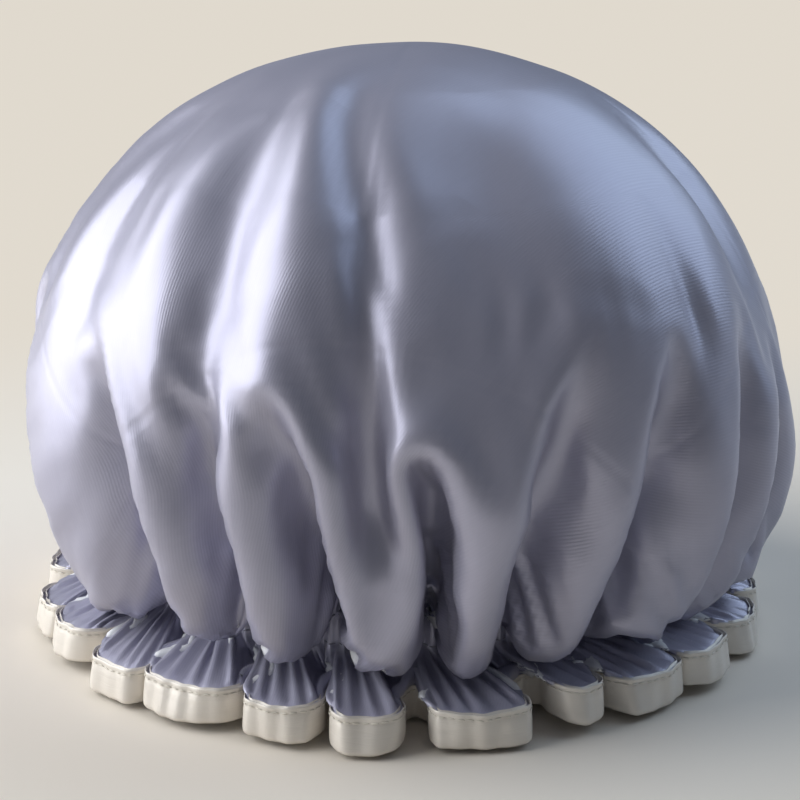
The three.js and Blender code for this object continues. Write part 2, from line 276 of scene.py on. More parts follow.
FRONT_LOBES = (
    Lobe(-78.0, 6.0, 1.0, 0.0, 0.5 * MM),
    Lobe(-63.5, 6.2, -1.5, -1.0 * MM, 1.5 * MM),
    Lobe(-49.0, 6.3, 1.5, 0.5 * MM, 0.0),
    Lobe(-32.8, 8.4, -1.0, -0.5 * MM, 1.0 * MM),
    Lobe(-16.8, 5.7, -1.2, 0.5 * MM, 0.5 * MM),
    Lobe(-4.4, 5.3, -0.6, 2.0 * MM, 0.0),
    Lobe(11.6, 7.4, 0.5, 1.5 * MM, 0.0),
    Lobe(27.4, 3.8, 0.8, -2.0 * MM, 2.0 * MM),
    Lobe(40.0, 6.8, 1.5, -0.5 * MM, 0.5 * MM),
    Lobe(55.0, 6.2, -1.5, 0.5 * MM, 1.5 * MM),
    Lobe(70.0, 6.3, 1.5, 0.0, 0.0),
    Lobe(85.0, 6.5, -1.0, -1.0 * MM, 1.0 * MM),
)
LOBE_DEPTH_MM = 15.0
LOBE_CORNERS = (
    (-0.82, LOBE_DEPTH_MM),
    (-1.0, 7.5),
    (-0.76, 1.4),
    (0.0, 0.0),
    (0.76, 1.4),
    (1.0, 7.5),
    (0.82, LOBE_DEPTH_MM),
)
BACK_LOBES = 12
BACK_LOBE_STRAY = 0.6
BACK_LOBE_HALVES = (5.7, 6.6)
BACK_LOBE_LEAN = 1.5
BACK_LOBE_REACH_MM = 1.5
BACK_LOBE_LIFTS = (0.0, 0.5 * MM, 1.5 * MM)


class Outline:
    """The crown's line in a plane through its axis, read by distance along the cloth from the top."""

    def __init__(self, radius: np.ndarray, height: np.ndarray) -> None:
        """Measures the line.

        Args:
            radius: distances of its points from the axis, from the top down.
            height: heights of the same points.
        """
        self.radius = radius
        self.height = height
        self.along = np.concatenate([[0.0], np.cumsum(np.hypot(np.diff(radius), np.diff(height)))])
        out = np.gradient(radius, self.along)
        up = np.gradient(height, self.along)
        size = np.hypot(out, up)
        self.normal_out = -up / size
        self.normal_up = out / size

    @property
    def length(self) -> float:
        """The length of the line."""
        return float(self.along[-1])

    def at(self, distance: np.ndarray) -> tuple[np.ndarray, np.ndarray, np.ndarray, np.ndarray]:
        """Reads the line.

        Args:
            distance: distances from the top along the cloth.

        Returns:
            The radius and height there, and the radial and upward shares of the outward normal.
        """
        rows = (self.radius, self.height, self.normal_out, self.normal_up)
        return tuple(np.interp(distance, self.along, row) for row in rows)


@dataclass
class CapForm:
    """The cap's gathered start: where each point of the cut circle lies before the cloth settles.

    A pair in capitals is a zone: where an effect starts and where it is full, or gone, as shares of the
    crown's line from its top or of the ruffle's from the casing, or as lengths from the ruffle's reach.
    PUCKER_ZONE lies about the ruffle's shoulder. SHELF_REACH and SHELF_DROP_MM give the height of the shelf
    between the overhang and the ruffle.
    """

    LEAN_ZONE = (0.25, 0.7)
    PLEAT_ZONE = (0.80, 0.95)
    GATHER_ZONE = (0.84, 0.94)
    HELD_ZONE = (0.8, 1.0)
    RIPPLE_FADE = (0.0, 0.5)
    RUFFLE_PLEAT_RISE = (0.0, 0.12)
    RUFFLE_PLEAT_FALL = (0.15, 0.62)
    RUFFLE_PLEAT_END = (0.66, 0.8)
    RUFFLE_PLEAT_LOSS = 0.85
    RUFFLE_GATHER_RISE = (0.0, 0.1)
    RUFFLE_GATHER_FALL = (0.2, 0.5)
    LOBE_FRONT = (-12.0 * MM, -5.0 * MM)
    PUCKER_ZONE = (-0.12, 0.05)
    SHELF_REACH = (0.0, 0.4, 0.66, 0.85, 1.0)
    SHELF_DROP_MM = (0.0, 2.0, 4.2, 4.6, 3.5)
    LINE_POINTS = 400
    DRAWN_POINTS = 300
    RING_POINTS = 1441
    HEM_POINTS = 4801
    CORNER_POINTS = 16

    crown_top: float
    crown_reach: float
    widest_height: float
    casing_radius: float
    casing_top: float
    casing_floor: float
    hem_reach: float
    fullness: float = 2.15
    reach_room: float = 1.0 * MM
    overhang_floor: float = 5.5 * MM
    overhang_lift: float = 3.5 * MM
    overhang_turn: float = 19.0 * MM
    overhang_depth: float = 28.0 * MM
    throat: float = 12.0 * MM
    drawn_from: float = 0.42
    drawn_lead: float = 38.0 * MM
    drawn_out: float = 6.0 * MM
    drawn_up: float = 36.0 * MM
    drawn_room: float = 0.5 * MM
    lean: float = 3.8 * MM
    shift: float = 2.2 * MM
    hem_drop: float = 1.6 * MM
    hem_in: float = 3.5 * MM
    hem_top: float = 12.5 * MM
    gap_radius: float = 89.0 * MM
    ruffle_length: float = 37.5 * MM
    shoulder: float = 0.70
    flare: float = 3.0 * MM
    pucker: float = 0.6 * MM
    pleats_per_lobe: int = 2
    pleat_depth: float = 1.5 * MM
    pleat_growth: float = 1.8
    gathers: int = 112
    gather_depth: float = 1.8 * MM
    lobe_lift: float = 0.8 * MM
    layer_gap: float = 1.6 * MM
    table_gap: float = 0.8 * MM
    seam_room: float = 0.5 * MM
    throat_room: float = 2.7

    def __post_init__(self) -> None:
        """Draws the crown's lines and sets out the folds of the far side."""
        self.outline = self._crown_line()
        self.casing_start = self.outline.length
        self.casing_end = self.casing_start + self.casing_top - self.casing_floor
        self.edge = self.casing_end + self.ruffle_length
        self.drawn_line = self._drawn_line()
        draw = random.Random(SEED)
        self.folds = FRONT_FOLDS + self._back_folds(draw)
        self.swells = FRONT_SWELLS + self._back_swells(draw)
        self.lobes = FRONT_LOBES + self._back_lobes(draw)
        self.hem_curve = self._hem_curve()

    @staticmethod
    def _bezier(corners: Stations, share: np.ndarray) -> tuple[np.ndarray, np.ndarray]:
        """The radius and height of a Bezier curve at shares of its way.

        Args:
            corners: radius and height of each corner.
            share: where it is read, from 0 to 1.

        Returns:
            The radii and the heights there.
        """
        order = len(corners) - 1
        weights = [math.comb(order, i) * share ** i * (1 - share) ** (order - i) for i in range(order + 1)]
        radius, height = (sum(w * c[axis] for w, c in zip(weights, corners)) for axis in (0, 1))
        return radius, height

    def _crown_line(self) -> Outline:
        """The crown's outer line: a full upper quarter, then an overhang that hangs over the ruffle.

        Returns:
            The line from the top to the casing.
        """
        widest = self.crown_reach - self.reach_room
        quarter = np.linspace(0.0, math.pi / 2, self.LINE_POINTS)
        power = 2.0 / self.fullness
        upper_radius = widest * np.sin(quarter) ** power
        upper_height = self.widest_height + (self.crown_top - self.widest_height) * np.cos(quarter) ** power
        corners = (
            (widest, self.widest_height),
            (widest, self.widest_height - self.overhang_turn),
            (widest - self.overhang_turn, self.overhang_floor + self.overhang_lift),
            (self.casing_radius + self.overhang_depth, self.overhang_floor),
            (self.casing_radius + self.throat, self.overhang_floor + self.throat),
            (self.casing_radius, self.casing_top),
        )
        lower_radius, lower_height = self._bezier(corners, np.linspace(0.0, 1.0, self.LINE_POINTS)[1:])
        return Outline(
            np.concatenate([upper_radius, lower_radius]), np.concatenate([upper_height, lower_height])
        )

    def _drawn_line(self) -> Outline:
        """The line of the deepest valleys, which leaves the outer line and goes straight to the casing.

        Returns:
            The line from where it leaves the outer line.
        """
        start = self.drawn_from * self.casing_start
        radius, height, out, up = self.outline.at(np.array(start))
        corners = (
            (float(radius), float(height)),
            (float(radius + self.drawn_lead * up), float(height - self.drawn_lead * out)),
            (self.casing_radius + self.drawn_out, self.casing_top + self.drawn_up),
            (self.casing_radius + self.drawn_room, self.casing_top),
        )
        return Outline(*self._bezier(corners, np.linspace(0.0, 1.0, self.DRAWN_POINTS)))

    @staticmethod
    def _back_folds(draw: random.Random) -> tuple[Fold, ...]:
        """Folds on the far side, spaced evenly with small differences.

        Args:
            draw: gives the random differences.

        Returns:
            The folds.
        """
        start, end = FRONT_FOLDS[-1].path[-1][1], FRONT_FOLDS[0].path[-1][1] + 360.0
        step = (end - start) / (BACK_FOLDS + 1)
        folds = []
        for i in range(BACK_FOLDS):
            low, sway = start + step * (i + 1), BACK_FOLD_SWAY * math.sin(1.0 + BACK_FOLD_SWAY_STEP * i)
            top = draw.uniform(*BACK_FOLD_TOPS)
            path = ((top, low + 1.2 * sway), (0.5 + 0.5 * top, low + 0.5 * sway), (1.0, low))
            sides = draw.sample(BACK_FOLD_SIDES, 2)
            depth = BACK_FOLD_DEPTH + BACK_FOLD_UNEVEN * math.cos(BACK_FOLD_DEPTH_STEP * i)
            folds.append(Fold(path, depth, *sides))
        return tuple(folds)

    @staticmethod
    def _back_swells(draw: random.Random) -> tuple[Swell, ...]:
        """Soft rises and dips on the far side.

        Args:
            draw: gives the random differences.

        Returns:
            The swells.
        """
        swells = []
        for i in range(BACK_SWELLS):
            low = BACK_SWELL_START + BACK_SWELL_STEP * i + draw.uniform(-BACK_SWELL_STRAY, BACK_SWELL_STRAY)
            height = (1.0 if i % 2 else -1.0) * draw.uniform(*BACK_SWELL_MM) * MM
            top = draw.uniform(*BACK_SWELL_TOPS)
            path = ((top, low + draw.uniform(-BACK_SWELL_SLANT, BACK_SWELL_SLANT)), (BACK_SWELL_END, low))
            swells.append(Swell(path, height, draw.uniform(*BACK_SWELL_WIDTHS)))
        return tuple(swells)

    @staticmethod
    def _back_lobes(draw: random.Random) -> tuple[Lobe, ...]:
        """Lobes on the far side, spaced evenly with small differences.

        Args:
            draw: gives the random differences.

        Returns:
            The lobes.
        """
        start, end = FRONT_LOBES[-1].azimuth, FRONT_LOBES[0].azimuth + 360.0
        step = (end - start) / (BACK_LOBES + 1)
        return tuple(
            Lobe(
                start + step * (i + 1) + draw.uniform(-BACK_LOBE_STRAY, BACK_LOBE_STRAY),
                draw.uniform(*BACK_LOBE_HALVES),
                draw.uniform(-BACK_LOBE_LEAN, BACK_LOBE_LEAN),
                draw.uniform(-BACK_LOBE_REACH_MM, BACK_LOBE_REACH_MM) * MM,
                draw.choice(BACK_LOBE_LIFTS),
            )
            for i in range(BACK_LOBES)
        )

    def pleat(self, azimuth: np.ndarray) -> np.ndarray:
        """The small pleats of the casing, from -1 in a valley to 1 on a ridge.

        Args:
            azimuth: azimuths in degrees.

        Returns:
            One value for each azimuth.
        """
        count = self.pleats_per_lobe * len(self.lobes)
        wander = 9.0 * wave(azimuth, 3.0) + 6.0 * wave(azimuth, 7.0, 40.0)
        uneven = 0.7 + 0.3 * wave(azimuth, 29.0, 5.0 * wander)
        return uneven * wave(azimuth, count, 9.0 * wander)

    def gather(self, azimuth: np.ndarray) -> np.ndarray:
        """The fine gathers beside the casing, from -1 in a valley to 1 on a ridge."""
        wander = 2.0 * wave(azimuth, 5.0) + 1.4 * wave(azimuth, 11.0, 70.0)
        return np.sin(np.radians(self.gathers * azimuth) + wander)

    def ripple(self, azimuth: np.ndarray) -> np.ndarray:
        """How far the casing's pleats stand out."""
        fine = 0.5 * self.gather_depth * (1.0 + self.gather(azimuth))
        return self.pleat_depth * (0.55 + 0.45 * self.pleat(azimuth)) + fine

    def folded_crown(self, distance: np.ndarray, azimuth: np.ndarray) -> np.ndarray:
        """Points of the folded crown.

        Args:
            distance: distances from the top along the cloth.
            azimuth: azimuths in space, in degrees.

        Returns:
            One row of x, y and z for each point.
        """
        radius, height, out, up = self.outline.at(distance)
        share = distance / self.casing_start
        way = np.clip((share - self.drawn_from) / (1.0 - self.drawn_from), 0.0, 1.0)
        haste = (1.0 - self.drawn_from) * self.casing_start / self.drawn_line.length
        drawn = self.drawn_line.at(self.drawn_line.length * (haste * way + (1.0 - haste) * way ** 2))
        left_out = np.ones_like(share)
        for fold in self.folds:
            left_out = left_out * (1.0 - fold.weight(share, azimuth))
        pull = (1.0 - left_out) * (share > self.drawn_from)
        push = sum(swell.lift(share, azimuth) for swell in self.swells)
        pleats = self.pleat_growth * self.pleat_depth * self.pleat(azimuth)
        push = push + pleats * ramp(*self.PLEAT_ZONE, share)
        push = push + self.gather_depth * self.gather(azimuth) * ramp(*self.GATHER_ZONE, share)
        radius = radius + pull * (drawn[0] - radius) + push * out
        height = height + pull * (drawn[1] - height) + push * up
        free = 1.0 - ramp(*self.HELD_ZONE, share)
        tilt = -self.lean * wave(azimuth, 1.0) * ramp(*self.LEAN_ZONE, share) * free
        points = placed(radius, azimuth, height + tilt)
        points[:, 0] += self.shift * free
        return points

    def crown(self, distance: np.ndarray, azimuth: np.ndarray) -> np.ndarray:
        """Points of the crown, spread so that each ring of threads is evenly long along its folds.

        Args:
            distance: distances from the top along the cloth.
            azimuth: azimuths in the flat cut, in degrees.

        Returns:
            One row of x, y and z for each point.
        """
        fine = np.linspace(-180.0, 180.0, self.RING_POINTS)
        turned = np.array(azimuth, dtype=float)
        for ring in np.unique(np.round(distance, 6)):
            here = np.abs(distance - ring) < 1e-6
            along = travelled(self.folded_crown(np.full_like(fine, ring), fine))
            even = -180.0 + 360.0 * along / along[-1] if ring > 1.0 * MM else fine
            even = even - np.mean(even - fine)
            turned[here] = np.interp(azimuth[here], even, fine)
        return self.folded_crown(distance, turned)

    def casing(self, distance: np.ndarray, azimuth: np.ndarray,
               inset: np.ndarray | float = 0.0) -> np.ndarray:
        """Points of the casing.

        Args:
            distance: distances from the top along the cloth.
            azimuth: azimuths in degrees.
            inset: how far inside the satin's outer face the points lie.

        Returns:
            One row of x, y and z for each point.
        """
        share = (distance - self.casing_start) / (self.casing_end - self.casing_start)
        height = self.casing_top + share * (self.casing_floor - self.casing_top)
        return placed(self.casing_radius + self.ripple(azimuth) - inset, azimuth, height)

    def _hem_curve(self) -> np.ndarray:
        """The bound edge from above: loops that stand out, with narrow gaps drawn in between them.

        Returns:
            Rows of x, y and lift, evenly spaced along the edge, from the back round by the left.
        """
        lobes = sorted(self.lobes, key=lambda lobe: around(np.array(lobe.azimuth), 0.0))
        corners = []
        for number, lobe in enumerate(lobes):
            reach = self.hem_reach - self.hem_in + lobe.reach
            for side, inward in LOBE_CORNERS:
                front = 1.0 - inward / LOBE_DEPTH_MM
                turn = lobe.azimuth + side * lobe.half + front * lobe.lean
                corners.append((turn, reach - inward * MM, lobe.lift + self.lobe_lift * abs(side) * front))
            after = lobes[(number + 1) % len(lobes)]
            edge = lobe.azimuth + lobe.half
            gap = float(around(np.array(after.azimuth - after.half), edge))
            corners.append((edge + 0.5 * gap, self.gap_radius, 0.0))
        azimuth, radius, lift = np.array(corners).T
        stations = placed(radius, azimuth, lift)
        share = np.linspace(0.0, 1.0, self.CORNER_POINTS, endpoint=False)[None, :, None]
        before, start, end, after = (np.roll(stations, by, axis=0)[:, None, :] for by in (1, 0, -1, -2))
        cubic = 3.0 * (start - end) + after - before
        square = 2.0 * before - 5.0 * start + 4.0 * end - after
        curve = start + 0.5 * share * (end - before + share * (square + share * cubic))
        curve = curve.reshape(-1, 3)
        curve = np.vstack([curve, curve[:1]])
        along = travelled(curve)
        even = np.linspace(0.0, along[-1], self.HEM_POINTS)
        return np.stack([np.interp(even, along, column) for column in curve.T], axis=1)

    def hem(self, azimuth: np.ndarray) -> np.ndarray:
        """Rows of x, y and lift of the bound edge, at azimuths in the flat cut.

        Args:
            azimuth: azimuths in degrees.

        Returns:
            One row for each azimuth.
        """
        place = ((azimuth + 180.0) % 360.0) / 360.0
        even = np.linspace(0.0, 1.0, len(self.hem_curve))
        return np.stack([np.interp(place, even, column) for column in self.hem_curve.T], axis=1)

    def ruffle(self, distance: np.ndarray, azimuth: np.ndarray) -> np.ndarray:
        """Points of the ruffle's outer face, as crown() gives the crown's.

        Args:
            distance: distances from the top along the cloth.
            azimuth: azimuths in the flat cut.

        Returns:
            One row of x, y and z for each point.
        """
        share = np.clip((distance - self.casing_end) / self.ruffle_length, 0.0, 1.0)
        edge = self.hem(azimuth)
        turn = np.clip(share / self.shoulder, 0.0, 1.0) * math.pi / 2
        out, fall = np.sin(turn), np.cos(turn)
        ripple = self.ripple(azimuth) * (1.0 - ramp(*self.RIPPLE_FADE, share))
        start = placed(self.casing_radius + ripple, azimuth, 0.0)
        soft = ramp(*self.RUFFLE_PLEAT_RISE, share)
        soft = soft * (1.0 - self.RUFFLE_PLEAT_LOSS * ramp(*self.RUFFLE_PLEAT_FALL, share))
        soft = soft * (1.0 - ramp(*self.RUFFLE_PLEAT_END, share))
        fine = ramp(*self.RUFFLE_GATHER_RISE, share) * (1.0 - ramp(*self.RUFFLE_GATHER_FALL, share))
        pleats = self.pleat_growth * self.pleat_depth * self.pleat(azimuth) * soft
        pleats = pleats + self.gather_depth * self.gather(azimuth) * fine
        points = start + out[:, None] * (edge - start) + placed(pleats * out, azimuth, 0.0)
        foot = self.hem_drop + edge[:, 2]
        hang = np.clip((share - self.shoulder) / (1.0 - self.shoulder), 0.0, 1.0)
        top = self.hem_top + edge[:, 2]
        points[:, 2] = top + (self.casing_floor - top + 0.9 * pleats) * fall - hang * (top - foot)
        front = ramp(*self.LOBE_FRONT, np.hypot(edge[:, 0], edge[:, 1]) - self.hem_reach)
        swing = 0.55 + 0.45 * wave(azimuth, 47.0) * wave(azimuth, 13.0, 30.0)
        drift = 2.0 * wave(azimuth, 17.0)
        pucker = 0.4 * np.sin(np.radians(227.0 * azimuth) + drift)
        pucker = pucker + 0.6 * np.sin(np.radians(91.0 * azimuth) - drift)
        low, high = (self.shoulder + past for past in self.PUCKER_ZONE)
        pucker = self.pucker * pucker * ramp(low, high, share)
        points += placed(front * (self.flare * swing * hang ** 1.5 + pucker), azimuth, 0.0)
        return points

    def satin(self, distance: np.ndarray, azimuth: np.ndarray) -> np.ndarray:
        """Points of the satin's outer face, as crown() gives the crown's.

        Args:
            distance: distances from the top along the cloth.
            azimuth: azimuths in the flat cut.

        Returns:
            One row of x, y and z for each point.
        """
        on_crown = (distance <= self.casing_start)[:, None]
        on_casing = (distance <= self.casing_end)[:, None]
        crown = self.crown(np.minimum(distance, self.casing_start), azimuth)
        casing = self.casing(np.clip(distance, self.casing_start, self.casing_end), azimuth)
        ruffle = self.ruffle(np.maximum(distance, self.casing_end), azimuth)
        return np.where(on_crown, crown, np.where(on_casing, casing, ruffle))

    def ruffle_frame(self, distance: np.ndarray, azimuth: np.ndarray) -> tuple[np.ndarray, ...]:
        """The ruffle's own directions.

        Args:
            distance: distances from the top along the cloth.
            azimuth: azimuths in degrees.

        Returns:
            The points, and unit vectors along the edge, down the cloth and out of it.
        """
        step_turn, step_down = 0.08, 0.4 * MM
        here = self.ruffle(distance, azimuth)
        along = self.ruffle(distance, azimuth + step_turn) - self.ruffle(distance, azimuth - step_turn)
        along = unit(along)
        inner = np.minimum(distance, self.edge) - step_down
        out = unit(np.cross(self.ruffle(inner + step_down, azimuth) - self.ruffle(inner, azimuth), along))
        return here, along, np.cross(along, out), out

    def part_layers(self, points: np.ndarray, distance: np.ndarray) -> None:
        """Keeps the crown's overhang above the ruffle and clear of the casing, and the ruffle below it.

        Args:
            points: the points of the satin, which are moved.
            distance: their distances from the top along the cloth.
        """
        radius = np.hypot(points[:, 0], points[:, 1])
        reach = np.clip((radius - self.casing_radius) / (self.hem_reach - self.casing_radius), 0.0, 1.0)
        shelf = self.casing_floor - np.interp(reach, self.SHELF_REACH, np.array(self.SHELF_DROP_MM) * MM)
        crown = distance < self.casing_start - self.seam_room
        ruffle = distance > self.casing_end + self.seam_room
        points[crown, 2] = np.maximum(points[crown, 2], (shelf + 0.5 * self.layer_gap)[crown])
        points[ruffle, 2] = np.minimum(points[ruffle, 2], (shelf - 0.3 * self.layer_gap)[ruffle])
        points[ruffle, 2] = np.maximum(points[ruffle, 2], self.table_gap)
        beside = crown & (points[:, 2] < self.casing_top - self.seam_room)
        clear = self.casing_radius + self.throat_room * self.pleat_depth
        widen = np.where(beside & (radius < clear), clear / radius, 1.0)
        points[:, :2] *= widen[:, None]


def new_piece(name: str, mesh_maker: bmesh.types.BMesh) -> bpy.types.Object:
    """Makes an object at the origin from a bmesh and frees the bmesh.

    Args:
        name: the piece's name.
        mesh_maker: its shape, already in place.

    Returns:
        The object, linked to the scene and shaded smooth.
    """
    mesh = bpy.data.meshes.new(name)
    mesh_maker.to_mesh(mesh)
    mesh_maker.free()
    mesh.shade_smooth()
    piece = bpy.data.objects.new(name, mesh)
    bpy.context.scene.collection.objects.link(piece)
    return piece


def coordinates(mesh: bpy.types.Mesh) -> np.ndarray:
    """The points of a mesh, one row each.

    Args:
        mesh: the mesh.

    Returns:
        Rows of x, y and z.
    """
    flat = np.empty(3 * len(mesh.vertices))
    mesh.vertices.foreach_get("co", flat)
    return flat.reshape(-1, 3)


def move_points(mesh: bpy.types.Mesh, points: np.ndarray) -> None:
    """Puts the points of a mesh in new places."""
    mesh.vertices.foreach_set("co", np.ascontiguousarray(points, dtype=float).ravel())
    mesh.update()


def triangles(mesh: bpy.types.Mesh) -> np.ndarray:
    """The corners of a mesh's triangles, one row each.

    Args:
        mesh: the mesh.

    Returns:
        Rows of three point numbers.
    """
    mesh.calc_loop_triangles()
    corners = np.empty(3 * len(mesh.loop_triangles), dtype=np.int64)
    mesh.loop_triangles.foreach_get("vertices", corners)
    return corners.reshape(-1, 3)


def gathered_normals(points: np.ndarray, corners: np.ndarray) -> np.ndarray:
    """The sum of the area normals of the triangles at each point.

    Args:
        points: the points of a mesh.
        corners: its triangles.

    Returns:
        One vector for each point, not of unit length.
    """
    first, second, third = (points[corners[:, i]] for i in range(3))
    normal = np.cross(second - first, third - first)
    total = np.zeros_like(points)
    for axis in range(3):
        for column in corners.T:
            total[:, axis] += np.bincount(column, weights=normal[:, axis], minlength=len(points))
    return total


def lay_out_uv(mesh: bpy.types.Mesh, flat: np.ndarray) -> None:
    """Stores the flat pattern as the UV map, in metres, so that a weave follows the cloth.

    Args:
        mesh: the cloth.
        flat: a row of two flat coordinates for each point.
    """
    corners = np.empty(len(mesh.loops), dtype=np.int64)
    mesh.loops.foreach_get("vertex_index", corners)
    mesh.uv_layers.new(name="cut").data.foreach_set("uv", flat[corners].astype(float).ravel())


@dataclass(frozen=True)
class CutCircle:
    """A flat circle of cloth as rings of points, with twice the points on each ring past a doubling."""

    rings: tuple[float, ...]
    first_columns: int
    doublings: tuple[float, ...]

    def piece(self, name: str) -> bpy.types.Object:
        """Cuts the circle.

        Args:
            name: the piece's name.

        Returns:
            A flat sheet in the XY plane, with its UV map.
        """
        cloth = bmesh.new()
        bmesh.ops.create_circle(
            cloth, cap_ends=True, cap_tris=True, radius=self.rings[0], segments=self.first_columns
        )
        rim = [edge for edge in cloth.edges if edge.is_boundary]
        waiting = list(self.doublings)
        for inner, ring in zip(self.rings, self.rings[1:]):
            if waiting and ring > waiting[0]:
                waiting.pop(0)
                bmesh.ops.subdivide_edges(cloth, edges=rim, cuts=1, use_single_edge=True)
                rim = [edge for edge in cloth.edges if edge.is_boundary]
                self._onto_ring(rim, inner)
            grown = bmesh.ops.extrude_edge_only(cloth, edges=rim)["geom"]
            rim = [part for part in grown if isinstance(part, bmesh.types.BMEdge) and part.is_boundary]
            self._onto_ring(rim, ring)
        piece = new_piece(name, cloth)
        lay_out_uv(piece.data, coordinates(piece.data)[:, :2])
        return piece

    @staticmethod
    def _onto_ring(rim: Iterable[bmesh.types.BMEdge], radius: float) -> None:
        """Moves the points of a rim out or in to a radius."""
        for point in {vert for edge in rim for vert in edge.verts}:
            point.co *= radius / point.co.length

    @staticmethod
    def polar(flat: np.ndarray) -> tuple[np.ndarray, np.ndarray]:
        """The distance from the middle and the azimuth of each point of a flat circle."""
        return np.hypot(flat[:, 0], flat[:, 1]), np.degrees(np.arctan2(flat[:, 0], -flat[:, 1]))

    def rows(self, flat: np.ndarray) -> list[np.ndarray]:
        """The points of each ring in order round it, from the innermost ring out.

        Args:
            flat: the flat points.

        Returns:
            An array of point numbers for each ring.
        """
        distance, azimuth = self.polar(flat)
        ring = np.abs(distance[:, None] - np.array(self.rings)[None, :]).argmin(axis=1)
        ring[distance < 0.5 * self.rings[0]] = -1
        order = np.round(azimuth % 360.0, 3) % 360.0
        found = (np.flatnonzero(ring == number) for number in range(len(self.rings)))
        return [row[np.argsort(order[row])] for row in found]


def spaced(start: float, end: float, step: float) -> list[float]:
    """Even distances after start up to end, about a step apart."""
    count = max(1, round((end - start) / step))
    return list(np.linspace(start, end, count + 1)[1:])


@dataclass(frozen=True)
class ClothFeel:
    """How a cloth behaves while it settles.

    It settles in steps, each with some sweeps over its threads. puff, weight and crumple are lengths: the
    outward push and the fall in one step, and the unevenness that it starts with. ironing is how often the
    smallest wrinkles are smoothed at the end. keep_high and keep_low are the shares of the width left over
    by the gathered start that new folds take up, at the top and near the casing, and keep_down is the share
    of the length left over. glide is how much of its movement goes on into the next step. The others are
    shares of a wrong length that one sweep puts right.
    """

    steps: int = 25
    sweeps: int = 4
    puff: float = 0.005 * MM
    weight: float = 0.004 * MM
    crumple: float = 0.7 * MM
    ironing: int = 2
    crumples_per_metre: float = 25.0
    keep_high: float = 0.05
    keep_low: float = 0.4
    keep_down: float = 0.25
    glide: float = 0.85
    stretch: float = 0.9
    crush: float = 0.35
    shear: float = 0.25
    bend: float = 0.2


class Weave:
    """The threads of a cut circle, in groups in which no point appears twice."""

    def __init__(self, circle: CutCircle, flat: np.ndarray, start: np.ndarray, kept: list[float],
                 keep_down: float, own_widths_past: float) -> None:
        """Ties the points together.

        Args:
            circle: the cut circle.
            flat: its flat points.
            start: its points in the gathered start.
            kept: for each ring, the share of its flat width that its threads keep.
            keep_down: the share of the length left over by the start that the threads down the cloth keep.
            own_widths_past: the ring past which the threads of a ring keep near their own start lengths.
        """
        self.rows = circle.rows(flat)
        self.start = start
        self.keep_down = keep_down
        self.found: dict[tuple, list[tuple[np.ndarray, np.ndarray, np.ndarray]]] = {}
        for number, row in enumerate(self.rows):
            self._tie_round(row, circle.rings[number], kept[number], circle.rings[number] > own_widths_past)
            for skip in (1, 2):
                if number + skip < len(self.rows):
                    self._tie_down(number, skip, circle.rings, kept)
        self.groups = [
            (key[0], *(np.concatenate(column) for column in zip(*pairs)))
            for key, pairs in self.found.items()
        ]

    def _add(self, key: tuple, first: np.ndarray, second: np.ndarray, length: float,
             gathered: bool) -> None:
        """Adds pairs of points with one length to a group, or with lengths near those of the start.

        Args:
            key: the group, whose first entry is the kind of thread.
            first: one point of each pair.
            second: the other.
            length: their length in the flat cut.
            gathered: whether pairs that are nearer in the gathered start keep near that length.
        """
        lengths = np.full(len(first), length)
        if gathered:
            now = np.linalg.norm(self.start[second] - self.start[first], axis=1)
            lengths = np.where(now < length, now + self.keep_down * (length - now), length)
        self.found.setdefault(key, []).append((first, second, lengths))

    def _tie_round(self, row: np.ndarray, radius: float, kept: float, own_widths: bool) -> None:
        """Ties each point of a ring to the next one and to the one after it.

        Args:
            row: the points of the ring in order.
            radius: its radius in the flat cut.
            kept: the share of its flat width that it keeps.
            own_widths: whether its threads keep near their own start lengths.
        """
        count = len(row)
        number = np.arange(count)
        for skip, kind in ((1, Thread.WEAVE), (2, Thread.BEND)):
            chord = 2.0 * radius * math.sin(skip * math.pi / count) * kept
            for parity in (0, 1):
                pick = (number // skip) % 2 == parity
                self._add((kind, "round", parity), row[pick], np.roll(row, -skip)[pick], chord, own_widths)

    def _tie_down(self, number: int, skip: int, rings: tuple[float, ...], kept: list[float]) -> None:
        """Ties a ring to the next one out, straight and on both diagonals, or to the one after it.

        Args:
            number: the ring.
            skip: 1 for the next ring and 2 for the one after it.
            rings: the radii of all rings.
            kept: for each ring, the share of its width that it keeps.
        """
        row, below = self.rows[number], self.rows[number + skip]
        step = len(below) // len(row)
        drop = rings[number + skip] - rings[number]
        parity = (number // skip) % 2
        kind = Thread.WEAVE if skip == 1 else Thread.BEND
        self._add((kind, "down", parity), row, below[::step], drop, True)
        if skip == 1:
            chord = 2.0 * rings[number + 1] * math.sin(math.pi / len(below)) * kept[number + 1]
            for side in (1, -1):
                across = np.roll(below, -side)[::step]
                self._add((Thread.SHEAR, side, parity), row, across, math.hypot(drop, chord), True)

    def sweep(self, points: np.ndarray, loose: np.ndarray, feel: ClothFeel) -> None:
        """Brings every pair of points nearer to its length, one group after another.

        Args:
            points: the points, which are moved.
            loose: 1 for a point that may move and 0 for one that is sewn.
            feel: how the cloth behaves.
        """
        give = {
            Thread.WEAVE: (feel.stretch, feel.crush),
            Thread.SHEAR: (feel.shear, 0.5 * feel.shear),
            Thread.BEND: (0.0, feel.bend),
        }
        for kind, first, second, length in self.groups:
            between = points[second] - points[first]
            size = np.sqrt(np.einsum("ij,ij->i", between, between)) + 1e-12
            wrong = size - length
            share = np.where(wrong > 0.0, *give[kind])
            both = np.maximum(loose[first] + loose[second], 1e-9)
            move = (share * wrong / (size * both))[:, None] * between
            points[first] += loose[first][:, None] * move
            points[second] -= loose[second][:, None] * move


